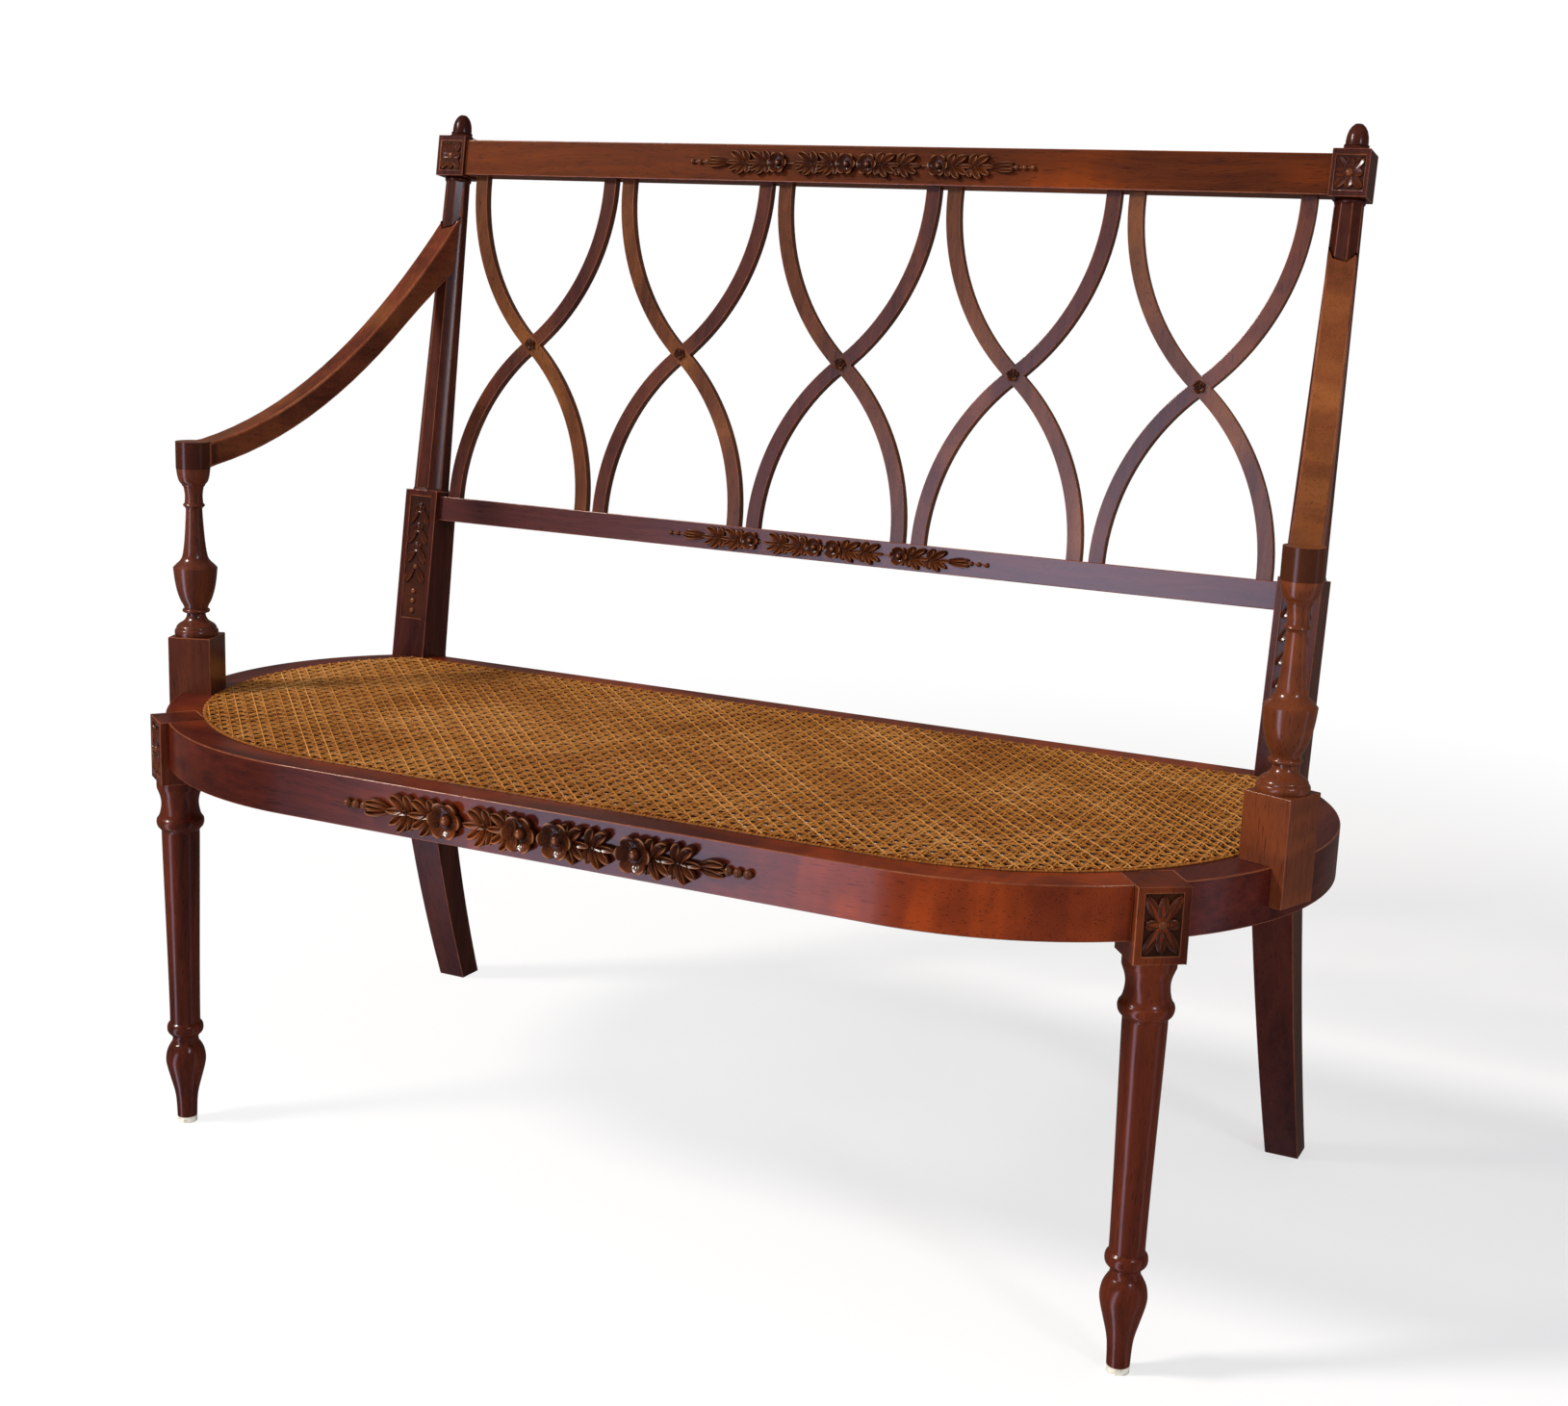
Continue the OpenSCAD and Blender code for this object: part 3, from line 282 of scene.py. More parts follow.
def turn_again(work, x, y, cut, profile):
    """Cuts a turning off its block at a height and turns it finer.

    The profile is (height, radius) in mm, and a pair that stands twice is a sharp corner."""
    steps, sides = 4, 48
    below = profile[0][0] / 1000 < cut - 0.001
    everything = [*work.verts, *work.edges, *work.faces]
    bmesh.ops.bisect_plane(work, geom=everything, plane_co=(0, 0, cut), plane_no=(0, 0, 1),
                           clear_inner=below, clear_outer=not below)
    bmesh.ops.holes_fill(work, edges=[edge for edge in work.edges if edge.is_boundary])
    knots = [Vector(pair) / 1000 for pair in profile]
    curve = [knots[0]]
    for i in range(1, len(knots)):
        low, high = knots[i - 1], knots[i]
        if low == high:
            continue
        leaving = (high - knots[max(0, i - 2)]) / 2
        coming = (knots[min(len(knots) - 1, i + 1)] - low) / 2
        for step in range(1, steps + 1):
            t = step / steps
            curve.append(low * (2 * t ** 3 - 3 * t ** 2 + 1) + leaving * (t ** 3 - 2 * t ** 2 + t)
                         + high * (3 * t ** 2 - 2 * t ** 3) + coming * (t ** 3 - t ** 2))
    angles = [2 * pi * i / sides for i in range(sides)]
    rings = [[work.verts.new((x + r * cos(a), y + r * sin(a), z)) for a in angles] for z, r in curve]
    made = [work.faces.new((low[i - 1], low[i], high[i], high[i - 1]))
            for low, high in zip(rings, rings[1:]) for i in range(sides)]
    made += [work.faces.new(rings[0]), work.faces.new(rings[-1])]
    bmesh.ops.recalc_face_normals(work, faces=made)


def eased(node, material, width=0.0007, turning=None):
    """A copy of a node whose long arrises are rounded over and paler: rubbed wear and a painted highlight."""
    sharp, long_enough = radians(26), 0.006
    mesh = nodes[node].data.copy()
    work = bmesh.new()
    work.from_mesh(mesh)
    bmesh.ops.remove_doubles(work, verts=work.verts, dist=0.00001)
    bmesh.ops.dissolve_limit(work, angle_limit=radians(0.5), verts=work.verts, edges=work.edges)
    if turning:
        turn_again(work, *turning)
    weight = work.edges.layers.float.new("bevel_weight_edge")
    for face in work.faces:
        face.smooth = True
    for edge in work.edges:
        if edge.calc_face_angle(0) > sharp:
            edge.smooth = False
            if edge.calc_length() > long_enough:
                edge[weight] = 1.0
    work.to_mesh(mesh)
    work.free()
    piece = link("eased_" + node, mesh, material)
    mesh.materials.append(arris_wood)
    rounding = piece.modifiers.new("arris", "BEVEL")
    rounding.material = 1
    rounding.width = width
    rounding.segments = 2
    rounding.limit_method = "WEIGHT"
    rounding.harden_normals = True
    rounding.use_clamp_overlap = False
    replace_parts(piece, node)


# The wood of every rounded arris, paler where hands and cloths have rubbed the stain away, and paler
# again as a painted highlight along the edge.
arris_wood = mahogany("arris_wood", "z", "#9a6444", "#82482c", "#5e2c1a", figure=0.5, coat=0.5)

# The seat frame is four rails sawn to the oval and tenoned into the legs. Their tops are flat,
# and the polish has gone darker and cooler here than on the turned parts.
rail_long = mahogany("seat_rail_long", "x", "#943a0e", "#501c10", "#2c0c08", coat=0.45,
                     flame=(0.34, 0.39, 0.22, 0.7))
rail_round = mahogany("seat_rail_round", "y", "#8a3a12", "#541e14", "#2e0c0c", coat=0.4)
eased("front_seat_rail", rail_long, width=0.001)
eased("back_seat_rail", rail_long)
eased("side_seat_rail_left", rail_round, width=0.001)
eased("side_seat_rail_right", rail_round, width=0.001)

# The front legs are turned below a square block, and each stands on a small pale glide.
leg_wood = mahogany("leg_wood", "z", "#7a3412", "#562212", "#300f09")
leg_x, leg_y, leg_block_foot = 0.48996, -0.2121, 0.3571
leg_profile = (
    (6, 9.7), (23, 10.4), (34, 12), (48, 15.6), (60, 18.6), (68, 19.5), (77, 18), (84, 14.5), (84, 14.5),
    (85, 13.5), (85, 13.5), (89.5, 12.5), (93, 13.7), (93, 13.7), (94, 15), (94, 15), (96.5, 17), (100, 17.7),
    (104, 17.1), (107, 14.8), (107, 14.8), (122, 14.8), (180, 15.7), (289, 18), (306, 18.1), (306, 18.1),
    (308, 19.1), (308, 19.1), (311, 21.7), (315, 22.8), (318.5, 22.4), (320, 21.3), (320, 21.3), (324, 19.4),
    (333, 17.9), (341, 18.7), (349, 21.5), (351, 21.9), (357.3, 21.9))
for end, sign in (("left", -1), ("right", 1)):
    turned_leg = (sign * leg_x, leg_y, leg_block_foot, leg_profile)
    eased("front_leg_" + end, leg_wood, width=0.0006, turning=turned_leg)

# The rear legs are one piece from the floor to the top block, with a turned finial on each.
post_wood = mahogany("post_wood", "z", "#603420", "#441c14", "#260c08", figure=0.4, coat=0.2,
                     flame=(0.62, 0.62, 0.56, 0.3))
for end in ("left", "right"):
    eased("rear_leg_" + end, post_wood)
    eased("finial_" + end, post_wood, width=0.0004)

# The crest rail and the lower rail are straight and tenoned into the rear legs.
crest_wood = mahogany("crest_wood", "x", "#803608", "#5a280c", "#361608", figure=0.8, coat=0.05)
lower_wood = mahogany("lower_wood", "x", "#6a3420", "#4c221a", "#2c1214", coat=0.75)
eased("crest_rail", crest_wood, width=0.0008)
eased("lower_back_rail", lower_wood, width=0.0008)

# Ten flat bars, bent to an ogee by sawing, cross in pairs and are halved into each other.
front_bars = mahogany("front_bars", "z", "#7c4a22", "#5a3016", "#34180c", figure=1.0, coat=0.45)
back_bars = mahogany("back_bars", "z", "#6c3c22", "#4a2216", "#2c1210", figure=0.8, coat=0.5)
for pair in range(1, 6):
    eased("splat_front_%d" % pair, front_bars, width=0.0008)
    eased("splat_back_%d" % pair, back_bars, width=0.0008)

# The arms sweep down from the rear legs to round ends on turned supports.
arm_wood = mahogany("arm_wood", "y", "#94582c", "#602c1a", "#3a1a10", figure=0.4, coat=0.4,
                    flame=(0.6, 0.75, 0.35, 0.5), dark_front_y=-0.088)
support_wood = mahogany("support_wood", "z", "#864422", "#522618", "#2e100a", figure=0.4, coat=0.6,
                        flame=(0.56, 0.5, 0.3, 0.5))
support_x, support_y, support_block_top = 0.559, -0.1051, 0.4779
support_profile = (
    (477.6, 20.9), (481, 21.9), (484, 21.3), (485, 20.2), (485, 20.2), (487.5, 19.6), (490, 17.2),
    (490, 17.2), (493, 12.6), (497, 9.9), (501, 9.2), (501, 9.2), (502, 12.8), (503.5, 13.7), (505, 13.2),
    (506, 11.6), (506, 11.6), (509, 12.6), (515, 15.7), (525, 18.8), (537, 20.9), (548, 22), (548, 22),
    (551, 19.2), (556, 14.3), (562, 12.1), (576, 10.2), (596, 8.7), (608, 8.1), (608, 8.1), (609.5, 9),
    (609.5, 9), (611.5, 10.9), (614, 9.2), (614, 9.2), (622, 8.8), (630, 10), (631, 11), (631, 11),
    (633, 11.8), (633, 11.8), (636, 14.2), (642, 15.9), (648.9, 16.8))
for end, sign in (("left", -1), ("right", 1)):
    turned_support = (sign * support_x, support_y, support_block_top, support_profile)
    eased("arm_" + end, arm_wood, width=0.0022)
    eased("arm_post_" + end, support_wood, turning=turned_support)


# The carving is cut from separate strips of mahogany and glued to the rails: dished flowers with a
# round eye, sprays of fluted leaves, buds and berries. The hollows are darkened with stain and painted shade,
# and the rims are lightened with rubbed wear and painted highlight.
carved_wood = mahogany("carved_wood", "x", "#96481a", "#643012", "#36160a", figure=0.8, hollows=True)


def new_growth(name, sockets):
    """A geometry node group with named inputs, which makes a mesh."""
    tree = bpy.data.node_groups.new(name, "GeometryNodeTree")
    for label, kind in sockets:
        tree.interface.new_socket(label, in_out="INPUT", socket_type="NodeSocket" + kind)
    tree.interface.new_socket("Geometry", in_out="OUTPUT", socket_type="NodeSocketGeometry")
    return tree, add(tree, "NodeGroupInput").outputs


def geometry(tree, kind, values, **settings):
    """The first output of a new geometry node."""
    return add(tree, "GeometryNode" + kind, values, **settings).outputs[0]


def axes(tree, **values):
    """A vector from those of X, Y and Z that are given."""
    return add(tree, "CombineXYZ", values).outputs[0]


def grown(tree, start, values):
    """The plain mesh that a growth makes from a start mesh and its sizes."""
    holder = bpy.data.objects.new(tree.name, start)
    scene.collection.objects.link(holder)
    growth = holder.modifiers.new("growth", "NODES")
    growth.node_group = tree
    for socket in tree.interface.items_tree:
        if socket.in_out == "INPUT" and socket.name in values:
            growth[socket.identifier] = values[socket.name]
    bpy.context.view_layer.update()
    mesh = bpy.data.meshes.new_from_object(holder.evaluated_get(bpy.context.evaluated_depsgraph_get()))
    holder.modifiers.clear()
    bpy.data.objects.remove(holder)
    return mesh


set_out, given = new_growth("set_out", (("Points", "Geometry"), ("Motif", "Object"), ("Finish", "Material")))
motif = add(set_out, "GeometryNodeObjectInfo", {"Object": given["Motif"]}).outputs["Geometry"]
turn = add(set_out, "GeometryNodeInputNamedAttribute", {"Name": "turn"}, data_type="FLOAT")
size = add(set_out, "GeometryNodeInputNamedAttribute", {"Name": "size"}, data_type="FLOAT_VECTOR")
solid = geometry(set_out, "InstanceOnPoints", {
    "Points": given["Points"], "Instance": motif, "Scale": size.outputs["Attribute"],
    "Rotation": axes(set_out, Z=turn.outputs["Attribute"])})
solid = geometry(set_out, "RealizeInstances", {"Geometry": solid})
solid = geometry(set_out, "SetMaterial", {"Geometry": solid, "Material": given["Finish"]})
add(set_out, "NodeGroupOutput", {"Geometry": solid})


def carved(name, groups, place, stands_for=None):
    """One carving: each motif is set out at its spots (x, y, turn, length, width, height)."""
    work = bmesh.new()
    for motif, spots in groups:
        points = bpy.data.meshes.new("spots")
        points.from_pydata([(x, y, 0) for x, y, *rest in spots], [], [])
        turns = [spot[2] for spot in spots]
        sizes = [size for spot in spots for size in spot[3:]]
        points.attributes.new("turn", "FLOAT", "POINT").data.foreach_set("value", turns)
        points.attributes.new("size", "FLOAT_VECTOR", "POINT").data.foreach_set("vector", sizes)
        work.from_mesh(grown(set_out, points, {"Motif": motif, "Finish": carved_wood}))
    work.transform(place)
    mesh = bpy.data.meshes.new(name)
    work.to_mesh(mesh)
    work.free()
    piece = link(name, mesh, carved_wood)
    if stands_for:
        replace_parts(piece, stands_for)


def motif_from(name, shape, *sizes):
    """A shape as an object that can be set out many times."""
    work = bmesh.new()
    hollow = work.verts.layers.float.new("hollow")
    shape(work, hollow, *sizes)
    bmesh.ops.recalc_face_normals(work, faces=work.faces)
    for face in work.faces:
        face.smooth = True
    for edge in work.edges:
        edge.smooth = edge.calc_face_angle(0) < radians(40)
    mesh = bpy.data.meshes.new(name)
    work.to_mesh(mesh)
    work.free()
    return bpy.data.objects.new(name, mesh)


def skin(work, hollow, rows, closed):
    """Faces between rows of (place, darkness); the rows close on themselves or end at a flat foot."""
    made = []
    for row in rows:
        made.append([])
        for place, dark in row:
            vert = work.verts.new(place)
            vert[hollow] = min(1.0, max(0.0, dark))
            made[-1].append(vert)
    for low, high in zip(made, made[1:]):
        for i in range(len(low) if closed else len(low) - 1):
            j = (i + 1) % len(low)
            work.faces.new((low[i], low[j], high[j], high[i]))
        if not closed:
            work.faces.new((low[-1], low[0], high[0], high[-1]))
    if not closed:
        work.faces.new(made[0])
    work.faces.new(made[-1])
    return made


def flower(work, hollow, petals, eye, profile, notch_depth):
    """A round flower of radius 1. Notches part its petals, and three flutes run up each of them.

    Its eye is (height, darkness), and the rings of its profile are (radius, height, darkness)."""
    steps = 12 * petals
    rows = []
    for radius, height, dark in profile:
        rows.append([])
        for step in range(steps):
            angle = 2 * pi * step / steps
            notch = 1 - abs(cos(petals * angle / 2)) ** 0.7
            spread = min(1, max(0, (radius - 0.3) / 0.5))
            flute = 0.5 + 0.5 * cos(3 * petals * angle)
            inner = 4 * max(0, radius - 0.33) * max(0, 0.9 - radius) / 0.3249
            reach = radius * (1 - notch_depth * notch * spread)
            top = height * (1 - 0.3 * notch * spread) - 0.018 * flute * inner
            # Notches and flutes are made darker, as stain and painted shade in the grooves.
            darkness = dark + 0.5 * notch * spread + 0.25 * flute * inner
            rows[-1].append(((reach * cos(angle), reach * sin(angle), top), darkness))
    first = skin(work, hollow, rows, True)[0]
    middle = work.verts.new((0, 0, eye[0]))
    middle[hollow] = eye[1]
    for i, vert in enumerate(first):
        work.faces.new((middle, vert, first[(i + 1) % steps]))


def leaf(work, hollow, foot, start, bend, length, width, height, stain=0):
    """A fluted leaf with raised rims that leaves its foot at an angle and curves as it goes."""
    section = ((-1, 0, 1), (-0.94, 0.82, 0.4), (-0.75, 1, 0), (0, 0.55, 0.5),
               (0.75, 1, 0), (0.94, 0.82, 0.4), (1, 0, 1))
    steps = 10
    x, y = foot
    rows = []
    for step in range(steps + 1):
        t = step / steps
        way = radians(start + bend * t)
        half = width / 2 * sqrt(sin(pi * (0.08 + 0.9 * t ** 1.4)))
        top = height * (0.45 + 0.55 * t ** 0.7)
        rows.append([])
        for s, lift, dark in section:
            place = (x - sin(way) * half * s, y + cos(way) * half * s, top * lift)
            # A leaf is made darker towards its foot and in its groove, as stain and painted shade, and left
            # pale on its rims.
            rows[-1].append((place, stain + dark + 0.5 * (1 - t) ** 2))
        x += length / steps * cos(way)
        y += length / steps * sin(way)
    skin(work, hollow, rows, False)


def leaves(work, hollow, shapes, flip=1, stain=0):
    """Leaves from feet along the spine; a flipped spray is the same seen in a mirror laid along it."""
    for foot, start, bend, length, width, height in shapes:
        leaf(work, hollow, (foot, 0), flip * start, flip * bend, length, width, height, stain)


def slab(work, hollow):
    """A flat square of side 1, made dark with stain and painted shade: the ground of a sunk panel."""
    for vert in bmesh.ops.create_cube(work, size=1)["verts"]:
        vert.co.z += 0.5
        vert[hollow] = 0.8


def berry(work, hollow):
    """A round berry, sunk a little into the wood, with stain and painted shade about its foot."""
    bmesh.ops.create_uvsphere(work, u_segments=14, v_segments=8, radius=0.25)
    for vert in work.verts:
        vert.co.z += 0.14
        vert[hollow] = min(1, max(0.2, 0.9 - 3 * vert.co.z))


def stem(work, hollow):
    """A half-round ridge that runs from -1 to 1."""
    section = ((-0.08, 0, 1), (-0.06, 0.1, 0.3), (0, 0.14, 0), (0.06, 0.1, 0.3), (0.08, 0, 1))
    skin(work, hollow, [[((x, y, z), dark) for y, z, dark in section] for x in (-1, 0, 1)], False)


# The darkness in a profile is stain and painted shade: most in the grooves and at the foot of the walls.
blossom_profile = (
    (0.1, 0.485, 0.15), (0.2, 0.43, 0.3), (0.27, 0.34, 0.5), (0.295, 0.2, 1), (0.35, 0.15, 0.9),
    (0.46, 0.17, 0.55), (0.62, 0.25, 0.4), (0.78, 0.38, 0.3), (0.9, 0.5, 0.15), (0.955, 0.53, 0),
    (0.99, 0.5, 0.1), (1.0, 0.42, 0.6), (0.98, 0.2, 0.95), (0.95, 0, 1))
blossom = motif_from("blossom", flower, 6, (0.5, 0.1), blossom_profile, 0.2)
# The floret's eye is a shallow dip made fully dark: painted shade in place of a pierced hole.
floret_profile = (
    (0.14, 0.12, 1), (0.2, 0.3, 0.6), (0.27, 0.42, 0.16), (0.36, 0.38, 0.4), (0.44, 0.26, 0.9),
    (0.6, 0.32, 0.5), (0.85, 0.46, 0.18), (0.96, 0.4, 0.16), (1.0, 0.2, 0.6), (0.98, 0, 1))
floret = motif_from("floret", flower, 5, (0.1, 1), floret_profile, 0.24)
spray_leaves = (
    (-0.35, 0, 0, 1.5, 0.42, 0.34), (-0.32, 96, -50, 1.0, 0.58, 0.42), (0.0, 70, -56, 1.16, 0.64, 0.54),
    (-0.38, -104, 44, 0.88, 0.46, 0.38), (-0.15, -82, 44, 1.14, 0.5, 0.48), (0.12, -56, 36, 1.02, 0.48, 0.42))
spray = motif_from("spray", leaves, spray_leaves)
mirror_spray = motif_from("mirror_spray", leaves, spray_leaves, -1)
bud_leaves = ((0, 0, 0, 1.3, 0.34, 0.36), (0.02, 30, -38, 1.2, 0.42, 0.44), (0.02, -30, 38, 1.2, 0.42, 0.4))
bud = motif_from("bud", leaves, bud_leaves)
plain_leaf = motif_from("plain_leaf", leaves, ((0, 0, 0, 1, 1, 1),), 1, 0.3)
seed = motif_from("seed", berry)
ridge = motif_from("ridge", stem)
ground = motif_from("ground", slab)


def garland(name, node, half, flower_r, place):
    """The right half's motifs at shares of its length, and their mirror images about the middle."""
    spray_size = (0.084 * half, 0.75 * flower_r + 0.021 * half, flower_r)
    bud_size = (1.3 * spray_size[0], *spray_size[1:])
    round_size = (flower_r, flower_r, flower_r)
    shares = ((blossom, blossom, round_size, (1.06 * flower_r / half, 0.46)),
              (spray, mirror_spray, spray_size, (0.15, 0.27, 0.55, 0.67)),
              (bud, bud, bud_size, (0.745,)), (seed, seed, round_size, (0.885, 0.93, 0.975)))
    groups = []
    for right, left, size, places in shares:
        groups.append((right, [(share * half, 0, 0, *size) for share in places]))
        groups.append((left, [(-share * half, 0, pi, *size) for share in places]))
    groups.append((ridge, [(0, 0, 0, 0.975 * half, flower_r, flower_r)]))
    carved(name, groups, place, node)


seat_z, back_y, rake = 0.42, 0.169, radians(8.3)
outward = Matrix.Rotation(pi / 2, 4, "X")
back_frame = Matrix.Translation((0, back_y, seat_z)) @ Matrix.Rotation(-rake, 4, "X")
seat_place = Matrix.Translation((-0.014, -0.306, 0.397)) @ outward
crest_place = back_frame @ Matrix.Translation((0, 0.004, 0.561)) @ outward
lower_place = back_frame @ Matrix.Translation((0.005, 0.007, 0.1705)) @ outward
garland("seat_garland", "seat_rail_garland", half=0.203, flower_r=0.017, place=seat_place)
garland("crest_carving", "crest_garland", half=0.194, flower_r=0.011, place=crest_place)
garland("lower_carving", "lower_rail_garland", half=0.184, flower_r=0.01, place=lower_place)

# A small floret with a pierced eye is pinned over each crossing of the bars. Its eye is not cut through but
# coloured dark, as painted shade.
rosette_r, crossing_pitch = 0.0065, 0.18799
florets = [(step * crossing_pitch, 0, 0.3 * step, rosette_r, rosette_r, rosette_r)
           for step in (-2, -1, 0, 1, 2)]
crossing_place = back_frame @ Matrix.Translation((0, 0.012, 0.36)) @ outward
carved("crossing_florets", [(floret, florets)], crossing_place, "splat_rosettes")


# The blocks above the front legs and at the ends of the crest carry a sunk panel with eight fluted
# leaves round an eye, and each stile carries a drop of leaves and berries in a long panel.
leaf_h, ground_h = 0.0025, 0.0003


def panel_star(width, height, leaf_w):
    """Leaves from the eye to the sides and corners of a panel, over its dark ground."""
    eye_r = 0.0035
    rays = []
    for x, y in ((0, 1), (1, 1), (1, 0), (1, -1), (0, -1), (-1, -1), (-1, 0), (-1, 1)):
        reach = hypot(x * width, y * height) / 2 * 0.9 - eye_r / 2
        way = atan2(y * height, x * width)
        rays.append((cos(way) * eye_r / 2, sin(way) * eye_r / 2, way, reach, leaf_w, leaf_h))
    eye = [(0, 0, 0, 0.015, 0.015, 0.0085)]
    return [(plain_leaf, rays), (seed, eye), (ground, [(0, 0, 0, width, height, ground_h)])]


leg_turn, leg_block, panel_depth = radians(36), 0.044, 0.002
post_x, leg_panel_z, top_panel_z, drop_z = 0.49498, 0.3895, 0.562, 0.113
drop_w, drop_l, splay = 0.028, 0.138, radians(32)
blade, bead, bloom = (0.0208, 0.0088, leaf_h), (0.0125, 0.0125, 0.007), (0.0062, 0.0062, 0.0052)
for end, sign in (("left", -1), ("right", 1)):
    leg_frame = Matrix.Translation((sign * leg_x, leg_y, 0)) @ Matrix.Rotation(sign * leg_turn, 4, "Z")
    leg_face = leg_frame @ Matrix.Translation((0, panel_depth - leg_block / 2, leg_panel_z)) @ outward
    carved("leg_panel_" + end, panel_star(0.031, 0.051, leaf_w=0.0098), leg_face)
    post_face = back_frame @ Matrix.Translation((sign * post_x, panel_depth, 0))
    top_face = post_face @ Matrix.Translation((0, 0, top_panel_z)) @ outward
    carved("top_panel_" + end, panel_star(0.027, 0.032, leaf_w=0.0085), top_face)
    falls = [(way * 0.0013, drop_l * (0.5 - share), -pi / 2 + way * splay, *blade)
             for share in (0.1, 0.26, 0.42, 0.58) for way in (1, -1)]
    beads = [(0, drop_l * (0.5 - share), 0, *bead) for share in (0.58, 0.78, 0.86, 0.94)]
    blooms = [(0, drop_l * (0.5 - share), share, *bloom) for share in (0.1, 0.26, 0.42)]
    back = [(0, 0, 0, drop_w, drop_l, ground_h)]
    groups = [(plain_leaf, falls), (seed, beads), (floret, blooms), (ground, back)]
    carved("stile_panel_" + end, groups, post_face @ Matrix.Translation((0, 0, drop_z)) @ outward)
for motif in (blossom, floret, spray, mirror_spray, bud, plain_leaf, seed, ridge, ground):
    bpy.data.objects.remove(motif)


# The seat is cane woven by hand: a pair of strands along and a pair across at every hole, locked by
# single strands both ways on the slant. It leaves eight-sided holes, and the shiny bark lies upwards.
shade_below, shade_above = 0.4202, 0.4215
cane, tree = new_material("cane")
place = add(tree, "TexCoord").outputs["Object"]
tone = add(tree, "Attribute", attribute_name="tone").outputs["Fac"]
fleck = noise(tree, place, 420.0, 2.0)
mixed = sums(tree, "MULTIPLY_ADD", noise(tree, place, 7.0, 3.0), 0.5, sums(tree, "MULTIPLY", tone, 0.3))
mixed = sums(tree, "MULTIPLY_ADD", fleck, 0.5, sums(tree, "SUBTRACT", mixed, 0.08))
ramp = add(tree, "ValToRGB", {"Fac": mixed})
for stop, code in ((0.2, "#60360f"), (0.45, "#925720"), (0.62, "#b07432"), (0.85, "#d0985a")):
    mark = ramp.color_ramp.elements.new(stop)
    mark.color = hex_tint(code)
ramp.color_ramp.elements.remove(ramp.color_ramp.elements[0])
ramp.color_ramp.elements.remove(ramp.color_ramp.elements[-1])
# Low in the weave the strands are painted darker, as painted shade in the holes.
level = add(tree, "SeparateXYZ", {0: place}).outputs[2]
shade = ranged(tree, level, shade_below, shade_above, 0.92, 0, smooth=True)
tint = blend(tree, shade, ramp.outputs["Color"], hex_tint("#2c1206"))
bark_bump = add(tree, "Bump", {"Height": fleck, "Strength": 0.3, "Distance": 0.0003}).outputs[0]
bark = {"Base Color": tint, "Roughness": 0.42, "Normal": bark_bump, "Specular IOR Level": 0.12}
add(tree, "OutputMaterial", {"Surface": add(tree, "BsdfPrincipled", bark).outputs[0]})

# Each family of strands is rows of straight lines: turned to its heading, cut to the seat's oval and
# laid in waves over and under the others, and then given the strand's section.
weave, given = new_growth("weave", (
    ("Pitch", "Float"), ("Lines", "Int"), ("Strands", "Int"), ("Gap", "Float"), ("Shift", "Float"),
    ("Heading", "Float"), ("Step", "Float"), ("Steps", "Int"), ("Lattice", "Vector"), ("Centre Y", "Float"),
    ("Back Y", "Float"), ("Half Straight", "Float"), ("Reach", "Float"), ("Level", "Float"),
    ("Wave", "Float"), ("Slant", "Float"), ("Width", "Float"), ("Thickness", "Float"),
    ("Finish", "Material")))


def spaced(axis, count, pitch, shift=0.0):
    """Evenly spaced points along an axis, with their middle at the shift."""
    span = sums(weave, "MULTIPLY", sums(weave, "SUBTRACT", count, 1), pitch)
    first = sums(weave, "MULTIPLY_ADD", span, -0.5, shift)
    start = axes(weave, **{axis: first})
    offset = axes(weave, **{axis: pitch})
    return geometry(weave, "MeshLine", {"Count": count, "Start Location": start, "Offset": offset})


rows = spaced("Y", given["Lines"], given["Pitch"], given["Shift"])
pair = spaced("Y", given["Strands"], given["Gap"])
line = spaced("X", given["Steps"], given["Step"])
feet = geometry(weave, "InstanceOnPoints", {"Points": rows, "Instance": pair})
feet = geometry(weave, "RealizeInstances", {"Geometry": feet})
lines = geometry(weave, "InstanceOnPoints", {"Points": feet, "Instance": line})
tone = add(weave, "FunctionNodeRandomValue", {"Seed": 7}, data_type="FLOAT").outputs[1]
lines = geometry(weave, "StoreNamedAttribute", {"Geometry": lines, "Name": "tone", "Value": tone},
                 domain="INSTANCE", data_type="FLOAT")
lines = geometry(weave, "RealizeInstances", {"Geometry": lines})
where = add(weave, "GeometryNodeInputPosition").outputs[0]
swung = {"Vector": where, "Angle": given["Heading"]}
swung = add(weave, "VectorRotate", swung, rotation_type="Z_AXIS").outputs[0]
swung = vectors(weave, "ADD", swung, axes(weave, Y=given["Centre Y"]))[0]
lines = geometry(weave, "SetPosition", {"Geometry": lines, "Position": swung})

# A strand's height waves with its place on the lattice of holes.
spot = add(weave, "SeparateXYZ", {0: where}).outputs
pitch = add(weave, "SeparateXYZ", {0: given["Lattice"]}).outputs
deep = sums(weave, "SUBTRACT", spot[1], given["Centre Y"])
along = sums(weave, "DIVIDE", sums(weave, "MULTIPLY", spot[0], pi), pitch[0])
inward = sums(weave, "DIVIDE", sums(weave, "MULTIPLY", deep, pi), pitch[1])
squares = sums(weave, "MULTIPLY", sums(weave, "COSINE", along), sums(weave, "COSINE", inward))
slanted = sums(weave, "COSINE", sums(weave, "MULTIPLY", along, 2))
rise = sums(weave, "MULTIPLY", squares, given["Wave"])
rise = sums(weave, "ADD", rise, sums(weave, "MULTIPLY", slanted, given["Slant"]))
rise = sums(weave, "ADD", rise, given["Level"])

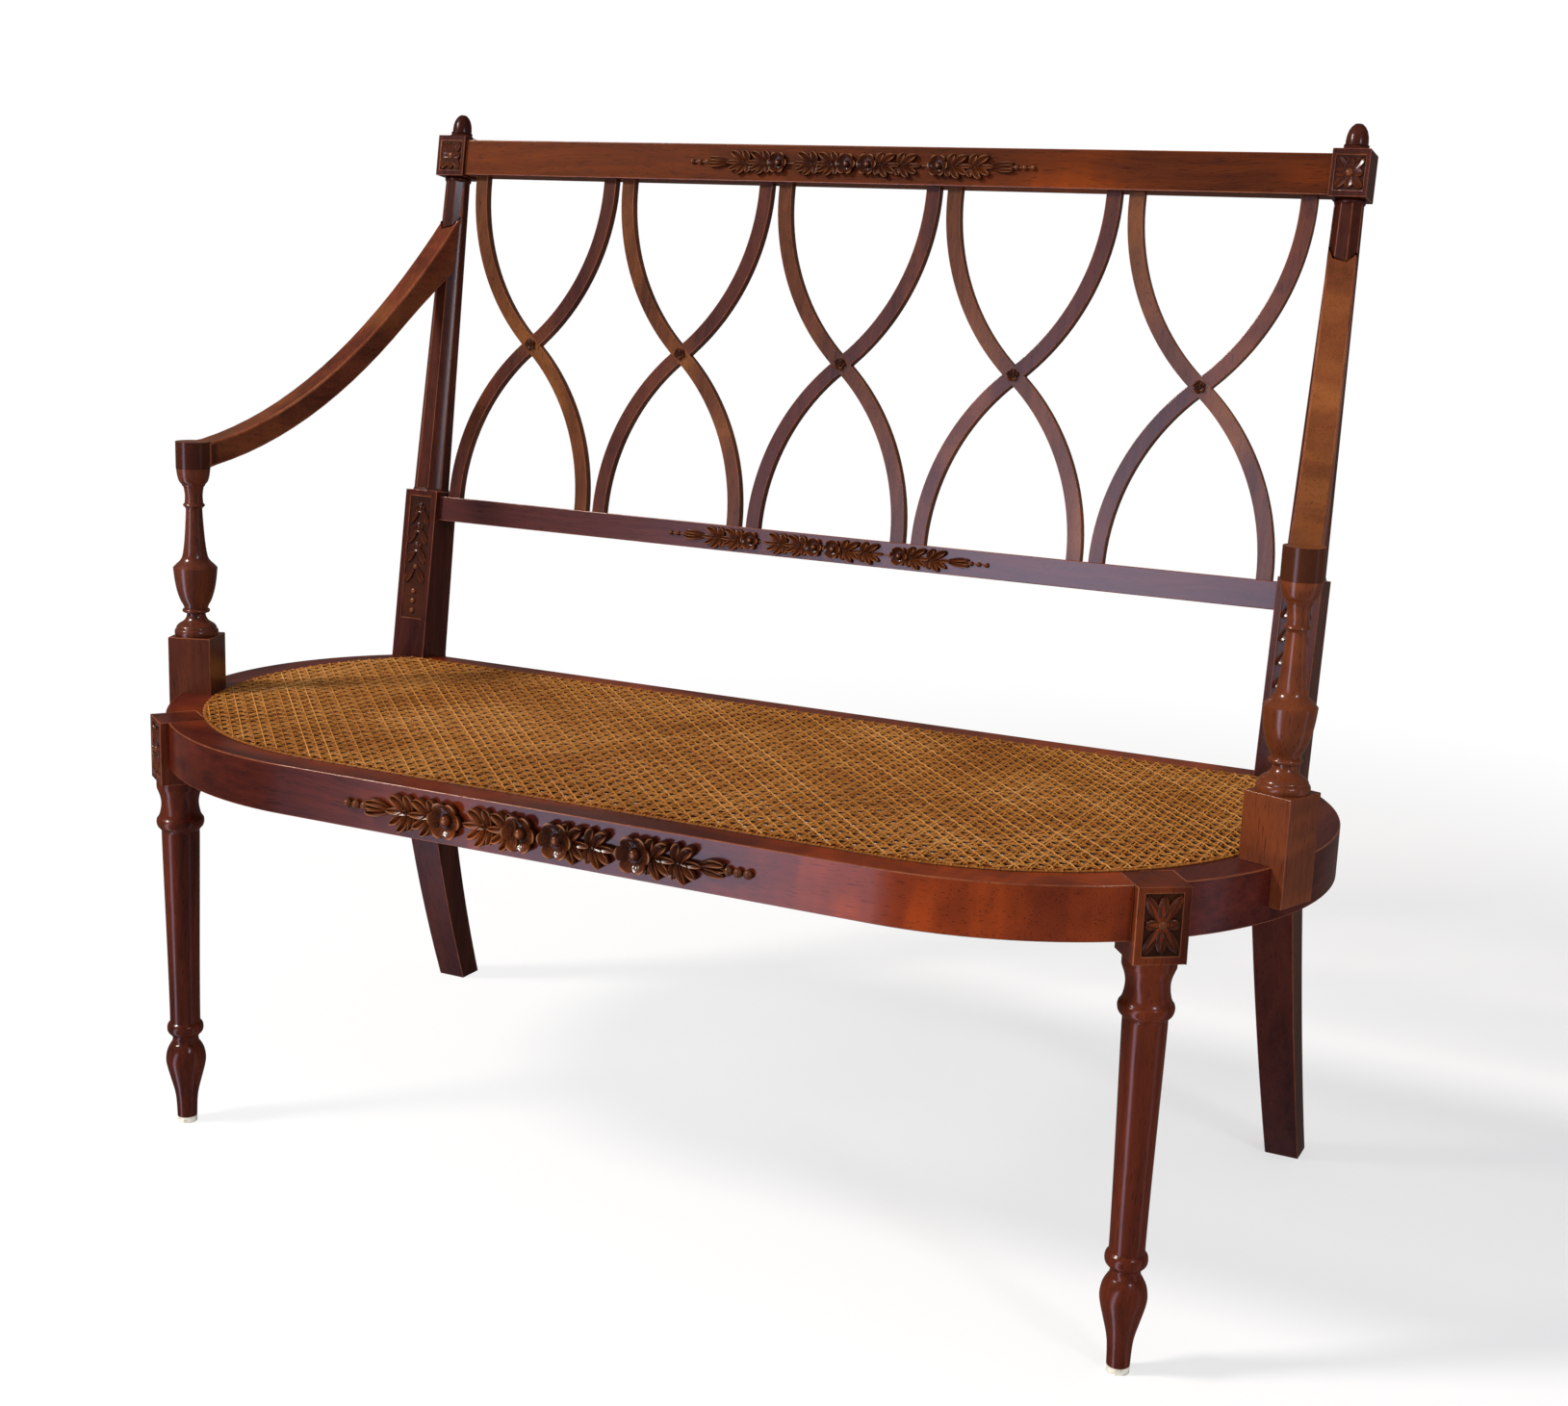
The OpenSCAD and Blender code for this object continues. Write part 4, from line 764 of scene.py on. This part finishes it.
# What lies past the round ends or behind the straight back is cut away.
past = sums(weave, "SUBTRACT", sums(weave, "ABSOLUTE", spot[0]), given["Half Straight"])
past = sums(weave, "MAXIMUM", past, 0)
away = sums(weave, "ADD", sums(weave, "MULTIPLY", past, past), sums(weave, "MULTIPLY", deep, deep))
beyond = sums(weave, "GREATER_THAN", sums(weave, "SQRT", away), given["Reach"])
behind = sums(weave, "GREATER_THAN", spot[1], given["Back Y"])
outside = sums(weave, "MAXIMUM", beyond, behind)
lines = geometry(weave, "DeleteGeometry", {"Geometry": lines, "Selection": outside}, domain="POINT")
lines = geometry(weave, "SetPosition", {"Geometry": lines, "Offset": axes(weave, Z=rise)})

# The lines become strands with three sides, the flat one upwards.
paths = geometry(weave, "MeshToCurve", {"Mesh": lines})
paths = geometry(weave, "SetCurveNormal", {"Curve": paths}, mode="Z_UP")
section = geometry(weave, "CurvePrimitiveCircle", {"Resolution": 3, "Radius": 0.5})
section = geometry(weave, "Transform", {
    "Geometry": section, "Rotation": (0, 0, pi / 2),
    "Scale": axes(weave, X=given["Width"], Y=given["Thickness"], Z=1.0)})
strands = geometry(weave, "CurveToMesh", {"Curve": paths, "Profile Curve": section, "Fill Caps": True})
strands = geometry(weave, "RealizeInstances", {"Geometry": strands})
strands = geometry(weave, "SetMaterial", {"Geometry": strands, "Material": given["Finish"]})
add(weave, "NodeGroupOutput", {"Geometry": strands})

seat_mid_y, open_r, open_half = -0.009, 0.251, 0.282
along_pitch, deep_pitch = 0.0124, 0.0133
slope = atan2(deep_pitch, along_pitch)
slant_pitch = along_pitch * deep_pitch / hypot(along_pitch, deep_pitch)
all_strands = {
    "Lattice": (along_pitch, deep_pitch, 0), "Centre Y": seat_mid_y, "Back Y": 0.1605,
    "Half Straight": open_half, "Reach": open_r + 0.0125, "Thickness": 0.0016, "Finish": cane}
paired = {"Strands": 2, "Gap": 0.0033}
single = {"Strands": 1, "Pitch": slant_pitch, "Shift": slant_pitch / 2, "Lines": 141, "Steps": 281,
          "Step": hypot(along_pitch, deep_pitch) / 4, "Slant": 0.00045, "Width": 0.0024}
families = (
    ("cane_along", {**paired, "Pitch": deep_pitch, "Lines": 45, "Heading": 0.0, "Step": along_pitch / 4,
                    "Steps": 361, "Level": seat_z, "Wave": 0.00035, "Width": 0.0033, "Thickness": 0.0042}),
    ("cane_across", {**paired, "Pitch": along_pitch, "Lines": 91, "Heading": pi / 2, "Step": deep_pitch / 4,
                     "Steps": 181, "Level": seat_z + 0.0008, "Wave": -0.00035, "Width": 0.0031}),
    ("cane_rising", {**single, "Heading": slope, "Level": seat_z + 0.0011}),
    ("cane_falling", {**single, "Heading": -slope, "Level": seat_z + 0.0013}))
for name, sizes in families:
    strands = grown(weave, bpy.data.meshes.new(name), {**all_strands, **sizes})
    for face in strands.polygons:
        face.use_smooth = True
    piece = link(name, strands, cane)
    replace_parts(piece, "cane_panel")

# A flat strip of cane covers the row of holes all round the opening. It is bound down at every
# hole by a short loop of the same cane. Both are ovals, sunk to the middle in the panel.
binding_w, binding_h, loop_pitch = 0.0048, 0.0013, 0.0124
binding_r, binding_back, arc_steps = open_r + 0.014, 0.164, 48
corner = acos((binding_back - seat_mid_y) / binding_r)
oval = []
for step in range(arc_steps + 1):
    turn = pi / 2 - corner - (pi - corner) * step / arc_steps
    oval.append((open_half + binding_r * cos(turn), seat_mid_y + binding_r * sin(turn), seat_z))
oval += [(-x, y, z) for x, y, z in reversed(oval)]
rim = bpy.data.meshes.new("rim")
rim.from_pydata(oval, [(i, (i + 1) % len(oval)) for i in range(len(oval))], [])

bound, given = new_growth("bound", (("Rim", "Geometry"), ("Width", "Float"), ("Height", "Float"),
                                    ("Loop Pitch", "Float"), ("Finish", "Material")))
path = geometry(bound, "MeshToCurve", {"Mesh": given["Rim"]})
path = geometry(bound, "SetCurveNormal", {"Curve": path}, mode="Z_UP")
crown = geometry(bound, "CurvePrimitiveCircle", {"Resolution": 10, "Radius": 0.5})
flat = axes(bound, X=given["Width"], Y=given["Height"], Z=1.0)
crown = geometry(bound, "Transform", {"Geometry": crown, "Scale": flat})
strip = geometry(bound, "CurveToMesh", {"Curve": path, "Profile Curve": crown})
marks = geometry(bound, "ResampleCurve", {"Curve": path, "Length": given["Loop Pitch"]}, mode="LENGTH")
stops = {"Curve": marks, "Length": given["Loop Pitch"]}
stops = add(bound, "GeometryNodeCurveToPoints", stops, mode="LENGTH").outputs
ring = geometry(bound, "MeshCylinder", {"Vertices": 10, "Radius": 0.56, "Depth": 1.0}, fill_type="NGON")
flat = axes(bound, X=given["Width"], Y=sums(bound, "MULTIPLY", given["Height"], 1.4), Z=0.0022)
ring = geometry(bound, "Transform", {"Geometry": ring, "Scale": flat})
loops = geometry(bound, "InstanceOnPoints", {
    "Points": stops["Points"], "Instance": ring, "Rotation": stops["Rotation"]})
both = add(bound, "GeometryNodeJoinGeometry")
bound.links.new(strip, both.inputs[0])
bound.links.new(loops, both.inputs[0])
both = geometry(bound, "RealizeInstances", {"Geometry": both.outputs[0]})
both = geometry(bound, "SetMaterial", {"Geometry": both, "Material": given["Finish"]})
add(bound, "NodeGroupOutput", {"Geometry": both})
sizes = {"Width": binding_w, "Height": binding_h * 2, "Loop Pitch": loop_pitch, "Finish": cane}
strip = grown(bound, rim, sizes)
for face in strip.polygons:
    face.use_smooth = True
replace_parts(link("cane_strip", strip, cane), "cane_binding")

# The frame is stiffened underneath by a brace across the opening and by screwed corner blocks, all of
# plain unpolished wood. The glides under the front legs are moulded plastic on a nail.
inner_wood = mahogany("inner_wood", "y", "#9a6c3c", "#7c5230", "#54341e", figure=0.5, coat=0.0)
eased("seat_brace", inner_wood)
eased("corner_blocks", inner_wood)
steel, tree = new_material("steel")
worn = noise(tree, add(tree, "TexCoord").outputs["Object"], 900.0, 3.0)
tint = blend(tree, worn, hex_tint("#7c7a74"), hex_tint("#b4b2ac"))
dull = ranged(tree, worn, 0.0, 1.0, 0.28, 0.5)
metal = add(tree, "BsdfPrincipled", {"Base Color": tint, "Metallic": 1.0, "Roughness": dull})
add(tree, "OutputMaterial", {"Surface": metal.outputs[0]})
glide, tree = new_material("glide")
scuff = noise(tree, add(tree, "TexCoord").outputs["Object"], 260.0, 4.0)
scuff = ranged(tree, scuff, 0.45, 0.75, 0.0, 1.0)
tint = blend(tree, scuff, hex_tint("#dcd8cc"), hex_tint("#a49c8c"))
dent = add(tree, "Bump", {"Height": scuff, "Strength": 0.2, "Distance": 0.0002}).outputs[0]
plastic = add(tree, "BsdfPrincipled", {"Base Color": tint, "Roughness": 0.5, "Normal": dent})
add(tree, "OutputMaterial", {"Surface": plastic.outputs[0]})
for node, material in (("corner_block_screws", steel), ("arm_post_screws", steel),
                       ("front_glide_left", glide), ("front_glide_right", glide)):
    nodes[node].data.materials.clear()
    nodes[node].data.materials.append(material)
